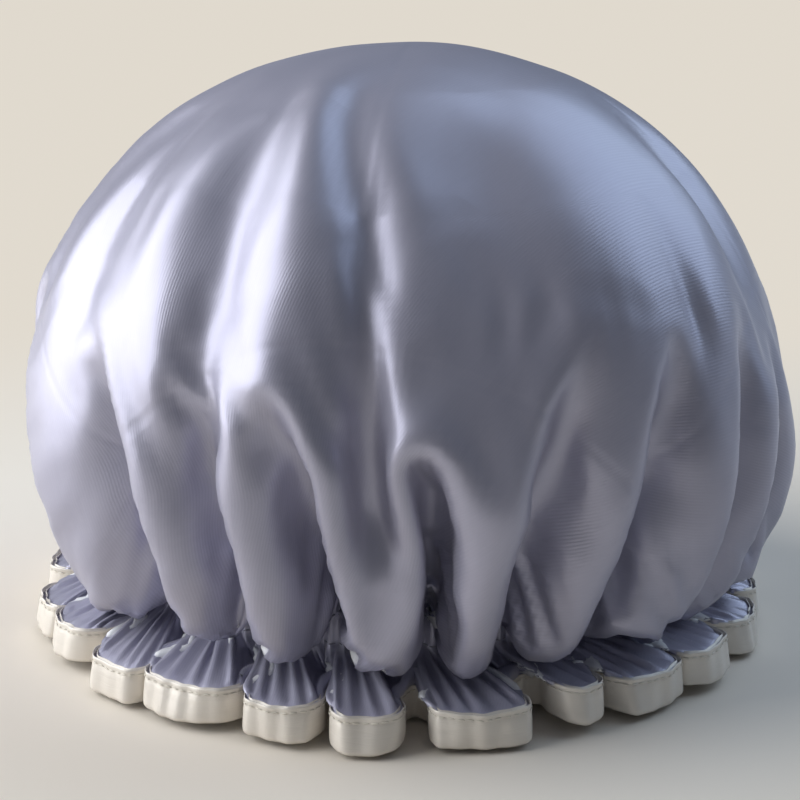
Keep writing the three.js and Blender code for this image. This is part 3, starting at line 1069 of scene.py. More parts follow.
@dataclass
class Settling:
    """The settling of a cut circle into its gathered shape.

    KEEP_ZONE and IRON_ZONE are shares of the crown's line: where more width is kept, and where the ironing
    ends. SEAM_MARGIN is how far past the casing the cloth is held.
    """

    KEEP_ZONE = (0.5, 0.85)
    IRON_ZONE = (0.80, 0.86)
    CALM_BELOW_CROWN = 0.7
    CRUMPLE_FALLOFF = 1.0
    CRUMPLE_RATIO = 2.0
    CRUMPLE_OCTAVES = 3
    SEAM_MARGIN = 0.4 * MM

    form: CapForm
    circle: CutCircle
    feel: ClothFeel
    sewn_hem: float

    def kept(self, points: np.ndarray, rows: list[np.ndarray]) -> list[float]:
        """The share of each ring's flat width that its threads keep, from the gathered start.

        Args:
            points: the gathered start.
            rows: the points of each ring.

        Returns:
            One share for each ring.
        """
        shares = []
        for ring, row in zip(self.circle.rings, rows):
            length = np.linalg.norm(points[np.roll(row, -1)] - points[row], axis=1).sum() / (TURN * ring)
            low = float(ramp(*self.KEEP_ZONE, np.array(ring / self.form.casing_start)))
            keep = self.feel.keep_high + (self.feel.keep_low - self.feel.keep_high) * low
            keep = keep if ring < self.form.casing_start else 0.0
            shares.append(length + keep * max(1.0 - length, 0.0))
        return shares

    def crumpled(self, points: np.ndarray, flat: np.ndarray) -> np.ndarray:
        """Points with some unevenness, which follows the flat cut.

        Args:
            points: the gathered start.
            flat: the flat points.

        Returns:
            The uneven points.
        """
        feel = self.feel
        noise = (self.CRUMPLE_FALLOFF, self.CRUMPLE_RATIO, self.CRUMPLE_OCTAVES)
        bumps = [cloud.fractal(Vector(spot) * feel.crumples_per_metre, *noise) for spot in flat]
        calm = 1.0 - self.CALM_BELOW_CROWN * (self.circle.polar(flat)[0] > self.form.casing_start)
        return points + feel.crumple * (calm * np.array(bumps))[:, None] * unit(points)

    def run(self, mesh: bpy.types.Mesh) -> None:
        """Gathers a flat circle and lets it settle.

        Args:
            mesh: the flat circle, whose points are moved.
        """
        form, feel = self.form, self.feel
        flat, corners = coordinates(mesh), triangles(mesh)
        distance, azimuth = self.circle.polar(flat)
        sewn = distance > form.casing_start - self.SEAM_MARGIN
        sewn &= distance < form.casing_end + self.SEAM_MARGIN
        sewn |= distance > form.edge - self.sewn_hem
        loose = 1.0 - sewn
        crown = loose * (distance < form.casing_start)
        gathered = form.satin(distance, azimuth)
        kept = self.kept(gathered, self.circle.rows(flat))
        weave = Weave(self.circle, flat, gathered, kept, feel.keep_down, form.casing_start)
        room = np.maximum(np.linalg.norm(gathered_normals(flat, corners), axis=1, keepdims=True), 1e-7)
        points = np.where(sewn[:, None], gathered, self.crumpled(gathered, flat))
        before = points.copy()
        middle = int(np.argmin(distance))
        fall = np.array([0.0, 0.0, feel.weight])
        for _ in range(feel.steps):
            push = feel.puff * crown[:, None] * gathered_normals(points, corners) / room
            glide = feel.glide * (points - before)
            before = points.copy()
            points = points + loose[:, None] * (glide + push - fall)
            for _ in range(feel.sweeps):
                weave.sweep(points, loose, feel)
            points[middle] = points[weave.rows[0]].mean(axis=0)
            form.part_layers(points, distance)
        self._iron(mesh, points, crown * (1.0 - ramp(*self.IRON_ZONE, distance / form.casing_start)))
        form.part_layers(points, distance)
        move_points(mesh, points)

    def _iron(self, mesh: bpy.types.Mesh, points: np.ndarray, where: np.ndarray) -> None:
        """Takes out wrinkles as small as the mesh.

        Args:
            mesh: the cloth.
            points: its points, which are moved.
            where: how far each point may move, from 0 to 1.
        """
        ends = np.empty(2 * len(mesh.edges), dtype=np.int64)
        mesh.edges.foreach_get("vertices", ends)
        first, second = ends.reshape(-1, 2).T
        start, end = np.concatenate([first, second]), np.concatenate([second, first])
        count = np.bincount(start, minlength=len(points))[:, None]
        for _ in range(self.feel.ironing):
            total = [np.bincount(start, weights=column, minlength=len(points)) for column in points[end].T]
            points += 0.5 * where[:, None] * (np.stack(total, axis=1) / count - points)


def solidify(piece: bpy.types.Object, thickness: float) -> None:
    """Gives a sheet its thickness, inwards from the modelled face.

    Args:
        piece: the sheet.
        thickness: its thickness.
    """
    modifier = piece.modifiers.new("Thickness", "SOLIDIFY")
    modifier.thickness = thickness
    modifier.offset = -1.0
    modifier.use_even_offset = False


def wear(piece: bpy.types.Object, material: bpy.types.Material, body: Body, node: str) -> None:
    """Dresses a piece and ties it to the frame.

    Args:
        piece: the new piece.
        material: its finish.
        body: the body that it moves with.
        node: the CAD node that it stands for.
    """
    piece.data.materials.append(material)
    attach(piece, body.value)
    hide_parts(node)
    LOG.info("%s: %d faces", piece.name, len(piece.data.polygons))


class NodeTree:
    """A node tree with short calls for its nodes."""

    def __init__(self, tree: bpy.types.NodeTree) -> None:
        """Takes over a tree.

        Args:
            tree: the node tree of a material, a world or a group.
        """
        self.tree = tree

    def node(self, kind: str, **values: object) -> bpy.types.Node:
        """Adds a node and sets its properties or, by socket name with _ for a space, its inputs.

        Args:
            kind: the node's type.
            values: its properties and inputs.

        Returns:
            The node.
        """
        made = self.tree.nodes.new(kind)
        for key, value in values.items():
            if hasattr(made, key):
                setattr(made, key, value)
            else:
                made.inputs[key.replace("_", " ")].default_value = value
        return made

    def link(self, source: bpy.types.NodeSocket, target: bpy.types.NodeSocket) -> None:
        """Joins two sockets."""
        self.tree.links.new(source, target)

    def blend(self, share: bpy.types.NodeSocket, low: Colour, high: Colour) -> bpy.types.NodeSocket:
        """Mixes two colours by a share.

        Args:
            share: the socket that gives the share.
            low: the colour where it is 0.
            high: the colour where it is 1.

        Returns:
            The socket that gives the mixed colour.
        """
        mix = self.node("ShaderNodeMix", data_type="RGBA")
        mix.inputs["A"].default_value = (*low, 1.0)
        mix.inputs["B"].default_value = (*high, 1.0)
        self.link(share, mix.inputs["Factor"])
        return mix.outputs["Result"]

    def spread(self, value: bpy.types.NodeSocket, low: float, high: float) -> bpy.types.NodeSocket:
        """Spreads a value from 0 and 1 to a range.

        Args:
            value: the socket that gives the value.
            low: the result where it is 0.
            high: the result where it is 1.

        Returns:
            The socket that gives the result.
        """
        span = self.node("ShaderNodeMapRange")
        span.inputs["To Min"].default_value = low
        span.inputs["To Max"].default_value = high
        self.link(value, span.inputs["Value"])
        return span.outputs["Result"]


class Shader(NodeTree):
    """A material with a Principled BSDF."""

    def __init__(self, name: str) -> None:
        """Starts a material.

        Args:
            name: the material's name.
        """
        self.material = bpy.data.materials.new(name)
        self.material.use_nodes = True
        super().__init__(self.material.node_tree)
        self.surface = self.tree.nodes["Principled BSDF"]

    def set(self, **values: object) -> None:
        """Sets inputs of the Principled BSDF, by name with _ for a space."""
        for key, value in values.items():
            self.surface.inputs[key.replace("_", " ")].default_value = value

    def feed(self, **sockets: bpy.types.NodeSocket) -> None:
        """Links sockets to inputs of the Principled BSDF, by name with _ for a space."""
        for key, socket in sockets.items():
            self.link(socket, self.surface.inputs[key.replace("_", " ")])

    def use(self, group: bpy.types.NodeTree, where: bpy.types.NodeSocket,
            **values: float) -> bpy.types.Node:
        """Places a node group.

        Args:
            group: the group.
            where: the socket that gives its coordinates.
            values: values for its other inputs.

        Returns:
            The group's node.
        """
        made = self.node("ShaderNodeGroup", node_tree=group)
        self.link(where, made.inputs["Vector"])
        for key, value in values.items():
            made.inputs[key.replace("_", " ")].default_value = value
        return made

    def bump(self, height: bpy.types.NodeSocket, depth: float, strength: float,
             under: bpy.types.NodeSocket | None = None) -> bpy.types.NodeSocket:
        """Turns a height into a normal.

        Args:
            height: the socket that gives the height, 0 to 1.
            depth: the height of 1 in metres.
            strength: how much of it shows.
            under: the normal of a coarser bump below this one.

        Returns:
            The socket that gives the normal.
        """
        made = self.node("ShaderNodeBump", Strength=strength, Distance=depth)
        self.link(height, made.inputs["Height"])
        if under is not None:
            self.link(under, made.inputs["Normal"])
        return made.outputs["Normal"]


class Groups:
    """The node groups that several finishes share, each built once."""

    TWILL_SLANT = math.radians(38.0)
    FLECK_STRETCH = (1.0, 0.12, 1.0)
    CREASE_WANDER = (0.02, 0.02, 0.0)
    CREASE_WIDTH = 0.12
    PRESS_SLANT = math.radians(8.0)
    PRESS_SPACING = 65.0 * MM
    PRESS_WIDTH = 2.5 * MM
    PRESS_WEIGHT = 0.4

    made: dict[str, bpy.types.NodeTree] = {}

    @classmethod
    def _start(cls, name: str, inputs: tuple[str, ...],
               outputs: tuple[str, ...]) -> tuple[NodeTree, bpy.types.Node, bpy.types.Node]:
        """Starts a group with a Vector input, value inputs and value outputs.

        Args:
            name: the group's name.
            inputs: names of its value inputs.
            outputs: names of its value outputs.

        Returns:
            The group's tree, its input node and its output node.
        """
        tree = bpy.data.node_groups.new(name, "ShaderNodeTree")
        tree.interface.new_socket("Vector", in_out="INPUT", socket_type="NodeSocketVector")
        for socket in inputs:
            tree.interface.new_socket(socket, in_out="INPUT", socket_type="NodeSocketFloat")
        for socket in outputs:
            tree.interface.new_socket(socket, in_out="OUTPUT", socket_type="NodeSocketFloat")
        cls.made[name] = tree
        nodes = NodeTree(tree)
        return nodes, nodes.node("NodeGroupInput"), nodes.node("NodeGroupOutput")

    @classmethod
    def twill(cls) -> bpy.types.NodeTree:
        """Fine diagonal lines of a satin weave, with the fleck of uneven yarns.

        Returns:
            The group.
        """
        if "twill" in cls.made:
            return cls.made["twill"]
        nodes, given, result = cls._start("twill", ("Lines", "Flecks"), ("Height", "Fleck"))
        turn = nodes.node("ShaderNodeMapping", vector_type="POINT", Rotation=(0.0, 0.0, cls.TWILL_SLANT))
        nodes.link(given.outputs["Vector"], turn.inputs["Vector"])
        lines = nodes.node("ShaderNodeTexWave", Distortion=0.8, Detail=1.0, Detail_Scale=0.5)
        nodes.link(turn.outputs["Vector"], lines.inputs["Vector"])
        nodes.link(given.outputs["Lines"], lines.inputs["Scale"])
        stretch = nodes.node("ShaderNodeMapping", vector_type="POINT", Scale=cls.FLECK_STRETCH)
        nodes.link(turn.outputs["Vector"], stretch.inputs["Vector"])
        fleck = nodes.node("ShaderNodeTexNoise", Detail=3.0, Roughness=0.6)
        nodes.link(stretch.outputs["Vector"], fleck.inputs["Vector"])
        nodes.link(given.outputs["Flecks"], fleck.inputs["Scale"])
        nodes.link(lines.outputs["Fac"], result.inputs["Height"])
        nodes.link(fleck.outputs["Fac"], result.inputs["Fleck"])
        return nodes.tree

    @classmethod
    def crease(cls) -> bpy.types.NodeTree:
        """Soft creases left by folding and handling, and a slow change of tone.

        Returns:
            The group.
        """
        if "crease" in cls.made:
            return cls.made["crease"]
        nodes, given, result = cls._start("crease", ("Scale",), ("Height", "Tone"))
        wander = nodes.node("ShaderNodeTexNoise", Detail=2.0)
        nodes.link(given.outputs["Vector"], wander.inputs["Vector"])
        nodes.link(given.outputs["Scale"], wander.inputs["Scale"])
        bend = nodes.node("ShaderNodeVectorMath", operation="MULTIPLY_ADD")
        bend.inputs[1].default_value = cls.CREASE_WANDER
        nodes.link(wander.outputs["Color"], bend.inputs[0])
        nodes.link(given.outputs["Vector"], bend.inputs[2])
        cells = nodes.node("ShaderNodeTexVoronoi", feature="DISTANCE_TO_EDGE")
        nodes.link(bend.outputs["Vector"], cells.inputs["Vector"])
        nodes.link(given.outputs["Scale"], cells.inputs["Scale"])
        ridge = nodes.node("ShaderNodeMapRange", interpolation_type="SMOOTHSTEP", From_Max=cls.CREASE_WIDTH)
        nodes.link(cells.outputs["Distance"], ridge.inputs["Value"])
        turn = nodes.node("ShaderNodeMapping", vector_type="POINT", Rotation=(0.0, 0.0, cls.PRESS_SLANT))
        nodes.link(given.outputs["Vector"], turn.inputs["Vector"])
        split = nodes.node("ShaderNodeSeparateXYZ")
        nodes.link(turn.outputs["Vector"], split.inputs["Vector"])
        height = ridge.outputs["Result"]
        for axis in ("X", "Y"):
            apart = nodes.node("ShaderNodeMath", operation="PINGPONG")
            apart.inputs[1].default_value = cls.PRESS_SPACING
            nodes.link(split.outputs[axis], apart.inputs[0])
            pressed = nodes.node("ShaderNodeMapRange", interpolation_type="SMOOTHSTEP")
            pressed.inputs["From Max"].default_value = cls.PRESS_WIDTH
            nodes.link(apart.outputs["Value"], pressed.inputs["Value"])
            lower = nodes.node("ShaderNodeMath", operation="MULTIPLY_ADD")
            lower.inputs[1].default_value = cls.PRESS_WEIGHT
            nodes.link(pressed.outputs["Result"], lower.inputs[0])
            nodes.link(height, lower.inputs[2])
            height = lower.outputs["Value"]
        nodes.link(height, result.inputs["Height"])
        nodes.link(wander.outputs["Fac"], result.inputs["Tone"])
        return nodes.tree


WAVES_PER_UNIT = 20.0 / TURN


@dataclass(frozen=True)
class SatinFinish:
    """Glossy satin: its light and dark tone, its gloss, and the pitch and depth of its twill."""

    FLECK_SCALE = 900.0
    FLECK_TONE = 0.35
    CREASE_SCALE = 16.0
    GLOSS_SPREAD = (-0.05, 0.08)
    RELIEF = 0.5

    name: str
    light: Colour
    dark: Colour
    roughness: float
    lustre: float
    anisotropy: float
    specular: float
    twill_pitch: float
    twill_depth: float
    crease_depth: float

    def material(self) -> bpy.types.Material:
        """Builds the material.

        Returns:
            The material.
        """
        shader = Shader(self.name)
        cut = shader.node("ShaderNodeUVMap", uv_map="cut").outputs["UV"]
        lines = 1.0 / (self.twill_pitch * WAVES_PER_UNIT)
        twill = shader.use(Groups.twill(), cut, Lines=lines, Flecks=self.FLECK_SCALE)
        crease = shader.use(Groups.crease(), cut, Scale=self.CREASE_SCALE)
        tone = shader.node("ShaderNodeMath", operation="MULTIPLY_ADD")
        tone.inputs[1].default_value = self.FLECK_TONE
        shader.link(twill.outputs["Fleck"], tone.inputs[0])
        shader.link(crease.outputs["Tone"], tone.inputs[2])
        soft = shader.bump(crease.outputs["Height"], self.crease_depth, self.RELIEF)
        gloss = [self.roughness + past for past in self.GLOSS_SPREAD]
        tangent = shader.node("ShaderNodeTangent", direction_type="UV_MAP", uv_map="cut")
        shader.feed(
            Base_Color=shader.blend(tone.outputs["Value"], self.dark, self.light),
            Roughness=shader.spread(twill.outputs["Height"], *gloss),
            Normal=shader.bump(twill.outputs["Height"], self.twill_depth, self.RELIEF, soft),
            Tangent=tangent.outputs["Tangent"],
        )
        shader.set(Metallic=self.lustre, Anisotropic=self.anisotropy, Specular_IOR_Level=self.specular)
        return shader.material


@dataclass(frozen=True)
class FilmFinish:
    """Milky waterproof film with soft creases."""

    CREASE_SCALE = 30.0
    CREASE_DEPTH = 0.5 * MM
    GLOSS_SPREAD = (-0.06, 0.1)
    RELIEF = 0.4

    name: str
    light: Colour
    dark: Colour
    roughness: float

    def material(self) -> bpy.types.Material:
        """Builds the material.

        Returns:
            The material.
        """
        shader = Shader(self.name)
        cut = shader.node("ShaderNodeUVMap", uv_map="cut").outputs["UV"]
        crease = shader.use(Groups.crease(), cut, Scale=self.CREASE_SCALE)
        gloss = [self.roughness + past for past in self.GLOSS_SPREAD]
        shader.feed(
            Base_Color=shader.blend(crease.outputs["Tone"], self.dark, self.light),
            Roughness=shader.spread(crease.outputs["Tone"], *gloss),
            Normal=shader.bump(crease.outputs["Height"], self.CREASE_DEPTH, self.RELIEF),
        )
        return shader.material


@dataclass(frozen=True)
class YarnFinish:
    """Spun thread or braid: a tone with a fine fibre grain."""

    GLOSS_SPREAD = (-0.1, 0.1)
    RELIEF = 0.5
    SHEEN = 0.2

    name: str
    light: Colour
    dark: Colour
    roughness: float
    grain_scale: float
    grain_depth: float

    def material(self) -> bpy.types.Material:
        """Builds the material.

        Returns:
            The material.
        """
        shader = Shader(self.name)
        where = shader.node("ShaderNodeTexCoord").outputs["Object"]
        grain = shader.node("ShaderNodeTexNoise", Scale=self.grain_scale, Detail=3.0)
        shader.link(where, grain.inputs["Vector"])
        gloss = [self.roughness + past for past in self.GLOSS_SPREAD]
        shader.feed(
            Base_Color=shader.blend(grain.outputs["Fac"], self.dark, self.light),
            Roughness=shader.spread(grain.outputs["Fac"], *gloss),
            Normal=shader.bump(grain.outputs["Fac"], self.grain_depth, self.RELIEF),
        )
        shader.set(Sheen_Weight=self.SHEEN)
        return shader.material


SATIN = SatinFinish(
    name="lavender_satin",
    light=(0.47, 0.465, 0.575),
    dark=(0.385, 0.38, 0.48),
    roughness=0.385,
    lustre=0.45,
    anisotropy=0.4,
    specular=0.5,
    twill_pitch=0.9 * MM,
    twill_depth=0.036 * MM,
    crease_depth=0.36 * MM,
)
IVORY = SatinFinish(
    name="ivory_satin",
    light=(0.82, 0.77, 0.70),
    dark=(0.76, 0.71, 0.64),
    roughness=0.30,
    lustre=0.15,
    anisotropy=0.3,
    specular=0.5,
    twill_pitch=0.7 * MM,
    twill_depth=0.003 * MM,
    crease_depth=0.03 * MM,
)
FILM = FilmFinish("milky_film", (0.86, 0.87, 0.89), (0.78, 0.79, 0.82), 0.36)
IVORY_THREAD = YarnFinish("ivory_thread", (0.80, 0.76, 0.68), (0.66, 0.62, 0.54), 0.6, 2500.0, 0.05 * MM)
GREY_THREAD = YarnFinish("grey_thread", (0.34, 0.34, 0.42), (0.25, 0.25, 0.32), 0.6, 2500.0, 0.05 * MM)
BRAID = YarnFinish("braided_elastic", (0.86, 0.85, 0.81), (0.7, 0.69, 0.65), 0.75, 1500.0, 0.15 * MM)


MIDDLE_RING = 6.0 * MM
GATHER_ROOM = 16.0 * MM
CROWN_STEP = 3.2 * MM
GATHER_STEP = 2.0 * MM
CASING_STEP = 2.4 * MM
RUFFLE_STEP = 2.7 * MM
EDGE_ROOM = 0.5 * MM
FIRST_COLUMNS = 40
CROWN_DOUBLINGS = (18.0 * MM, 45.0 * MM, 95.0 * MM, 205.0 * MM)
RUFFLE_DOUBLING = 1.0 * MM


def cut_for(form: CapForm) -> CutCircle:
    """The cut circle of a form, with closer rings where the gathers are.

    Args:
        form: the cap's form.

    Returns:
        The circle, out to just inside the edge.
    """
    near = form.casing_start - GATHER_ROOM
    rings = (
        [MIDDLE_RING]
        + spaced(MIDDLE_RING, near, CROWN_STEP)
        + spaced(near, form.casing_start, GATHER_STEP)
        + spaced(form.casing_start, form.casing_end, CASING_STEP)
        + spaced(form.casing_end, form.edge - EDGE_ROOM, RUFFLE_STEP)
    )
    return CutCircle(tuple(rings), FIRST_COLUMNS, (*CROWN_DOUBLINGS, form.casing_end + RUFFLE_DOUBLING))


@dataclass
class SatinShell:
    """The satin circle: crown, casing and ruffle in one piece."""

    form: CapForm
    hem: float
    thickness: float = 0.15 * MM

    def build(self) -> bpy.types.Object:
        """Cuts the circle, gathers it and lets it settle.

        Returns:
            The satin.
        """
        circle = cut_for(self.form)
        piece = circle.piece("satin_shell_cloth")
        Settling(self.form, circle, ClothFeel(), self.hem).run(piece.data)
        solidify(piece, self.thickness)
        return piece

    def dress(self, piece: bpy.types.Object) -> None:
        wear(piece, SATIN.material(), Body.CAP, "satin_shell")


@dataclass
class Lining:
    """The milky film circle that lies inside the satin and passes inside the elastic.

    CLOSE_ZONE is where it comes up to the satin, in shares of the crown's line.
    """

    CLOSE_ZONE = (0.72, 0.82)
    TUNNEL_FULLNESS = 0.4

    form: CapForm
    satin: bpy.types.Object
    tunnel_radius: float
    seam: float = 0.8 * MM
    ruffle_seam: float = 0.2 * MM
    sag: float = 0.5 * MM
    thickness: float = 0.12 * MM

    def build(self) -> bpy.types.Object:
        """Lays the film against the inside of the settled satin, and round the inside of the elastic.

        Returns:
            The film.
        """
        form = self.form
        circle = cut_for(form)
        piece = circle.piece("lining_film")
        distance, azimuth = circle.polar(coordinates(piece.data))
        outside = coordinates(self.satin.data)
        close = ramp(*self.CLOSE_ZONE, distance / form.casing_start)
        depth = self.seam + close * (self.ruffle_seam - self.seam)
        outward = unit(gathered_normals(outside, triangles(self.satin.data)))
        points = outside - depth[:, None] * outward
        sag = self.sag * np.clip(outward[:, 2], 0.0, 1.0)
        points[:, 2] -= np.where(distance > form.casing_end, sag, 0.0)
        neck = (distance - form.casing_start) / (form.casing_end - form.casing_start)
        bulge = np.sin(math.pi * np.clip(neck, 0.0, 1.0)) ** self.TUNNEL_FULLNESS
        tuck = form.casing_radius - self.tunnel_radius + form.ripple(azimuth)
        tunnel = form.casing(distance, azimuth, self.seam + (tuck - self.seam) * bulge)
        move_points(piece.data, np.where(((neck > 0.0) & (neck < 1.0))[:, None], tunnel, points))
        solidify(piece, self.thickness)
        return piece

    def dress(self, piece: bpy.types.Object) -> None:
        wear(piece, FILM.material(), Body.CAP, "waterproof_lining")


TAPE_UV_SCALE = 0.1
STITCH_HALF_LENGTH = 0.39
STITCH_HALF_HEIGHT = 0.4
FINE_AZIMUTHS = np.linspace(-180.0, 180.0, 7200, endpoint=False)


def ring_tape(name: str, columns: int, rows: int,
              place: Callable[[np.ndarray, np.ndarray], np.ndarray]) -> bpy.types.Object:
    """A tape with a closed section that runs once round the cap.

    Args:
        name: the piece's name.
        columns: points along the tape.
        rows: points round its section.
        place: gives the points in space from arrays of azimuths and row numbers.

    Returns:
        The tape, with a UV map of its unrolled length and width.
    """
    tape = bmesh.new()
    bmesh.ops.create_circle(tape, cap_ends=False, radius=1.0, segments=columns)
    rim = first = list(tape.edges)
    for row in range(1, rows):
        grown = bmesh.ops.extrude_edge_only(tape, edges=rim)["geom"]
        rim = [part for part in grown if isinstance(part, bmesh.types.BMEdge) and part.is_boundary]
        for point in {vert for edge in rim for vert in edge.verts}:
            point.co *= (row + 1.0) / row
    bmesh.ops.bridge_loops(tape, edges=first + rim)
    shape = np.array([point.co for point in tape.verts])
    azimuth = np.degrees(np.arctan2(shape[:, 0], -shape[:, 1]))
    row = np.round(np.hypot(shape[:, 0], shape[:, 1])).astype(int) - 1
    for point, spot in zip(tape.verts, place(azimuth, row)):
        point.co = spot
    bmesh.ops.recalc_face_normals(tape, faces=tape.faces)
    piece = new_piece(name, tape)
    lay_out_uv(piece.data, TAPE_UV_SCALE * shape[:, :2])
    return piece


def stitch_bead() -> bpy.types.Mesh:
    """One stitch of unit size: a bead drawn out along X.

    Returns:
        The bead's mesh.
    """
    bead = bmesh.new()
    along_x = Matrix.Rotation(math.pi / 2, 4, "Y")
    bmesh.ops.create_uvsphere(bead, u_segments=6, v_segments=5, radius=1.0, matrix=along_x)
    mesh = bpy.data.meshes.new("stitch_bead")
    bead.to_mesh(mesh)
    bead.free()
    return mesh


def lay_stitch(thread: bmesh.types.BMesh, bead: bpy.types.Mesh, spot: Vector, forward: Vector,
               outward: Vector, size: tuple[float, float, float]) -> None:
    """Adds one stitch to a row.

    Args:
        thread: the row of stitches.
        bead: a stitch of unit size.
        spot: where its middle lies.
        forward: the direction along it.
        outward: the direction out of the cloth.
        size: its half length, half width and half height.
    """
    side = outward.cross(forward).normalized()
    ahead = forward.normalized()
    turn = Matrix((ahead, side, ahead.cross(side))).transposed().to_4x4()
    stitch = bead.copy()
    stitch.transform(Matrix.Translation(spot) @ turn @ Matrix.Diagonal((*size, 1.0)))
    thread.from_mesh(stitch)
    bpy.data.meshes.remove(stitch)


def sew(name: str, line: np.ndarray, along: np.ndarray, out: np.ndarray, pitch: float,
        thickness: float = 0.5 * MM) -> bpy.types.Object:
    """A row of stitches along a closed line of points.

    Args:
        name: the piece's name.
        line: points of the line, close together.
        along: unit vectors along it.
        out: unit vectors out of the cloth.
        pitch: length of one stitch with the gap after it.
        thickness: the thread's thickness.

    Returns:
        One piece with all the stitches.
    """
    steps = np.linalg.norm(np.diff(line, axis=0, append=line[:1]), axis=1)
    starts = np.concatenate([[0.0], np.cumsum(steps)[:-1]])
    count = int(steps.sum() / pitch)
    picks = np.searchsorted(starts, np.arange(count) * steps.sum() / count)
    bead = stitch_bead()
    thread = bmesh.new()
    size = (STITCH_HALF_LENGTH * pitch, 0.5 * thickness, STITCH_HALF_HEIGHT * thickness)
    for pick in np.minimum(picks, len(line) - 1):
        lay_stitch(thread, bead, Vector(line[pick]), Vector(along[pick]), Vector(out[pick]), size)
    bpy.data.meshes.remove(bead)
    return new_piece(name, thread)


@dataclass
class EdgeBinding:
    """The ivory tape folded round the edge, and its stitches."""

    form: CapForm
    width: float = 10.0 * MM
    wall: float = 0.22 * MM
    stand_off: float = 0.12 * MM
    layers: float = 0.8 * MM
    stitch_inset: float = 1.6 * MM
    stitch_pitch: float = 2.6 * MM
    stitch_lift: float = 0.12 * MM
    columns: int = 1536

    def section(self) -> list[tuple[float, float]]:
        """The tape's closed section: distances up from the edge and out from the satin's face.

        Returns:
            The corners in order round the section.
        """
        outer = self.stand_off + self.wall
        inner = -self.layers - self.stand_off
        rise = self.width
        stitch = rise - self.stitch_inset
        return [
            (rise, self.stand_off),
            (rise, outer),
            (rise - 0.4 * MM, outer + 0.12 * MM),
            (stitch + 0.5 * MM, outer + 0.04 * MM),
            (stitch, outer - 0.08 * MM),
            (stitch - 0.6 * MM, outer + 0.05 * MM),
            (stitch - 2.0 * MM, outer + 0.15 * MM),
            (3.0 * MM, outer + 0.15 * MM),
            (1.0 * MM, outer + 0.05 * MM),
            (0.2 * MM, outer - 0.12 * MM),
            (-0.25 * MM, 0.5 * (outer + inner)),
            (0.2 * MM, inner + 0.1 * MM),
            (1.0 * MM, inner - 0.8 * self.wall),
            (rise - 1.0 * MM, inner - self.wall),
            (rise, inner - self.wall),
            (rise, inner),
            (1.2 * MM, inner),
            (0.6 * MM, 0.5 * inner),
            (1.2 * MM, self.stand_off),
        ]

    def tape(self) -> bpy.types.Object:
        """Folds the tape round the edge.

        Returns:
            The tape.
        """
        section = np.array(self.section())

        def place(azimuth: np.ndarray, row: np.ndarray) -> np.ndarray:
            """Points of the tape from azimuths and section corners."""
            rise, lift = section[row, 0], section[row, 1]
            here, _, down, out = self.form.ruffle_frame(self.form.edge - np.maximum(rise, 0.0), azimuth)
            return here + lift[:, None] * out + np.maximum(-rise, 0.0)[:, None] * down

        return ring_tape("ivory_edge_binding", self.columns, len(section), place)

    def stitches(self) -> bpy.types.Object:
        """Sews the tape down with a row of stitches.

        Returns:
            The stitches.
        """
        line = np.full_like(FINE_AZIMUTHS, self.form.edge - self.width + self.stitch_inset)
        here, along, _, out = self.form.ruffle_frame(line, FINE_AZIMUTHS)
        here = here + (self.stand_off + self.wall + self.stitch_lift) * out
        return sew("binding_stitches", here, along, out, self.stitch_pitch)

    def build(self) -> tuple[bpy.types.Object, bpy.types.Object]:
        """Makes the tape and its stitches."""
        return self.tape(), self.stitches()

    def dress(self, tape: bpy.types.Object, stitches: bpy.types.Object) -> None:
        """Gives both their finishes."""
        wear(tape, IVORY.material(), Body.CAP, "edge_binding")
        wear(stitches, IVORY_THREAD.material(), Body.CAP, "binding_topstitch")


@dataclass
class Casing:
    """The two stitch rows that make the elastic's casing."""

    form: CapForm
    upper_height: float
    lower_height: float
    pitch: float = 3.0 * MM
    lift: float = 0.15 * MM

    def row(self, name: str, height: float) -> bpy.types.Object:
        """Sews one row.

        Args:
            name: the row's name.
            height: its height above the table.

        Returns:
            The stitches.
        """
        line = np.full_like(FINE_AZIMUTHS, self.form.casing_start + self.form.casing_top - height)
        here = self.form.casing(line, FINE_AZIMUTHS)
        along = unit(np.roll(here, -1, axis=0) - np.roll(here, 1, axis=0))
        out = np.cross(along, np.array([0.0, 0.0, 1.0]))
        return sew(name, here + self.lift * out, along, out, self.pitch)

    def build(self) -> tuple[bpy.types.Object, bpy.types.Object]:
        """Sews both rows."""
        upper = self.row("casing_stitches_upper", self.upper_height)
        return upper, self.row("casing_stitches_lower", self.lower_height)

    def dress(self, upper: bpy.types.Object, lower: bpy.types.Object) -> None:
        """Gives both rows their thread."""
        thread = GREY_THREAD.material()
        wear(upper, thread, Body.CAP, "casing_upper_stitch")
        wear(lower, thread, Body.CAP, "casing_lower_stitch")


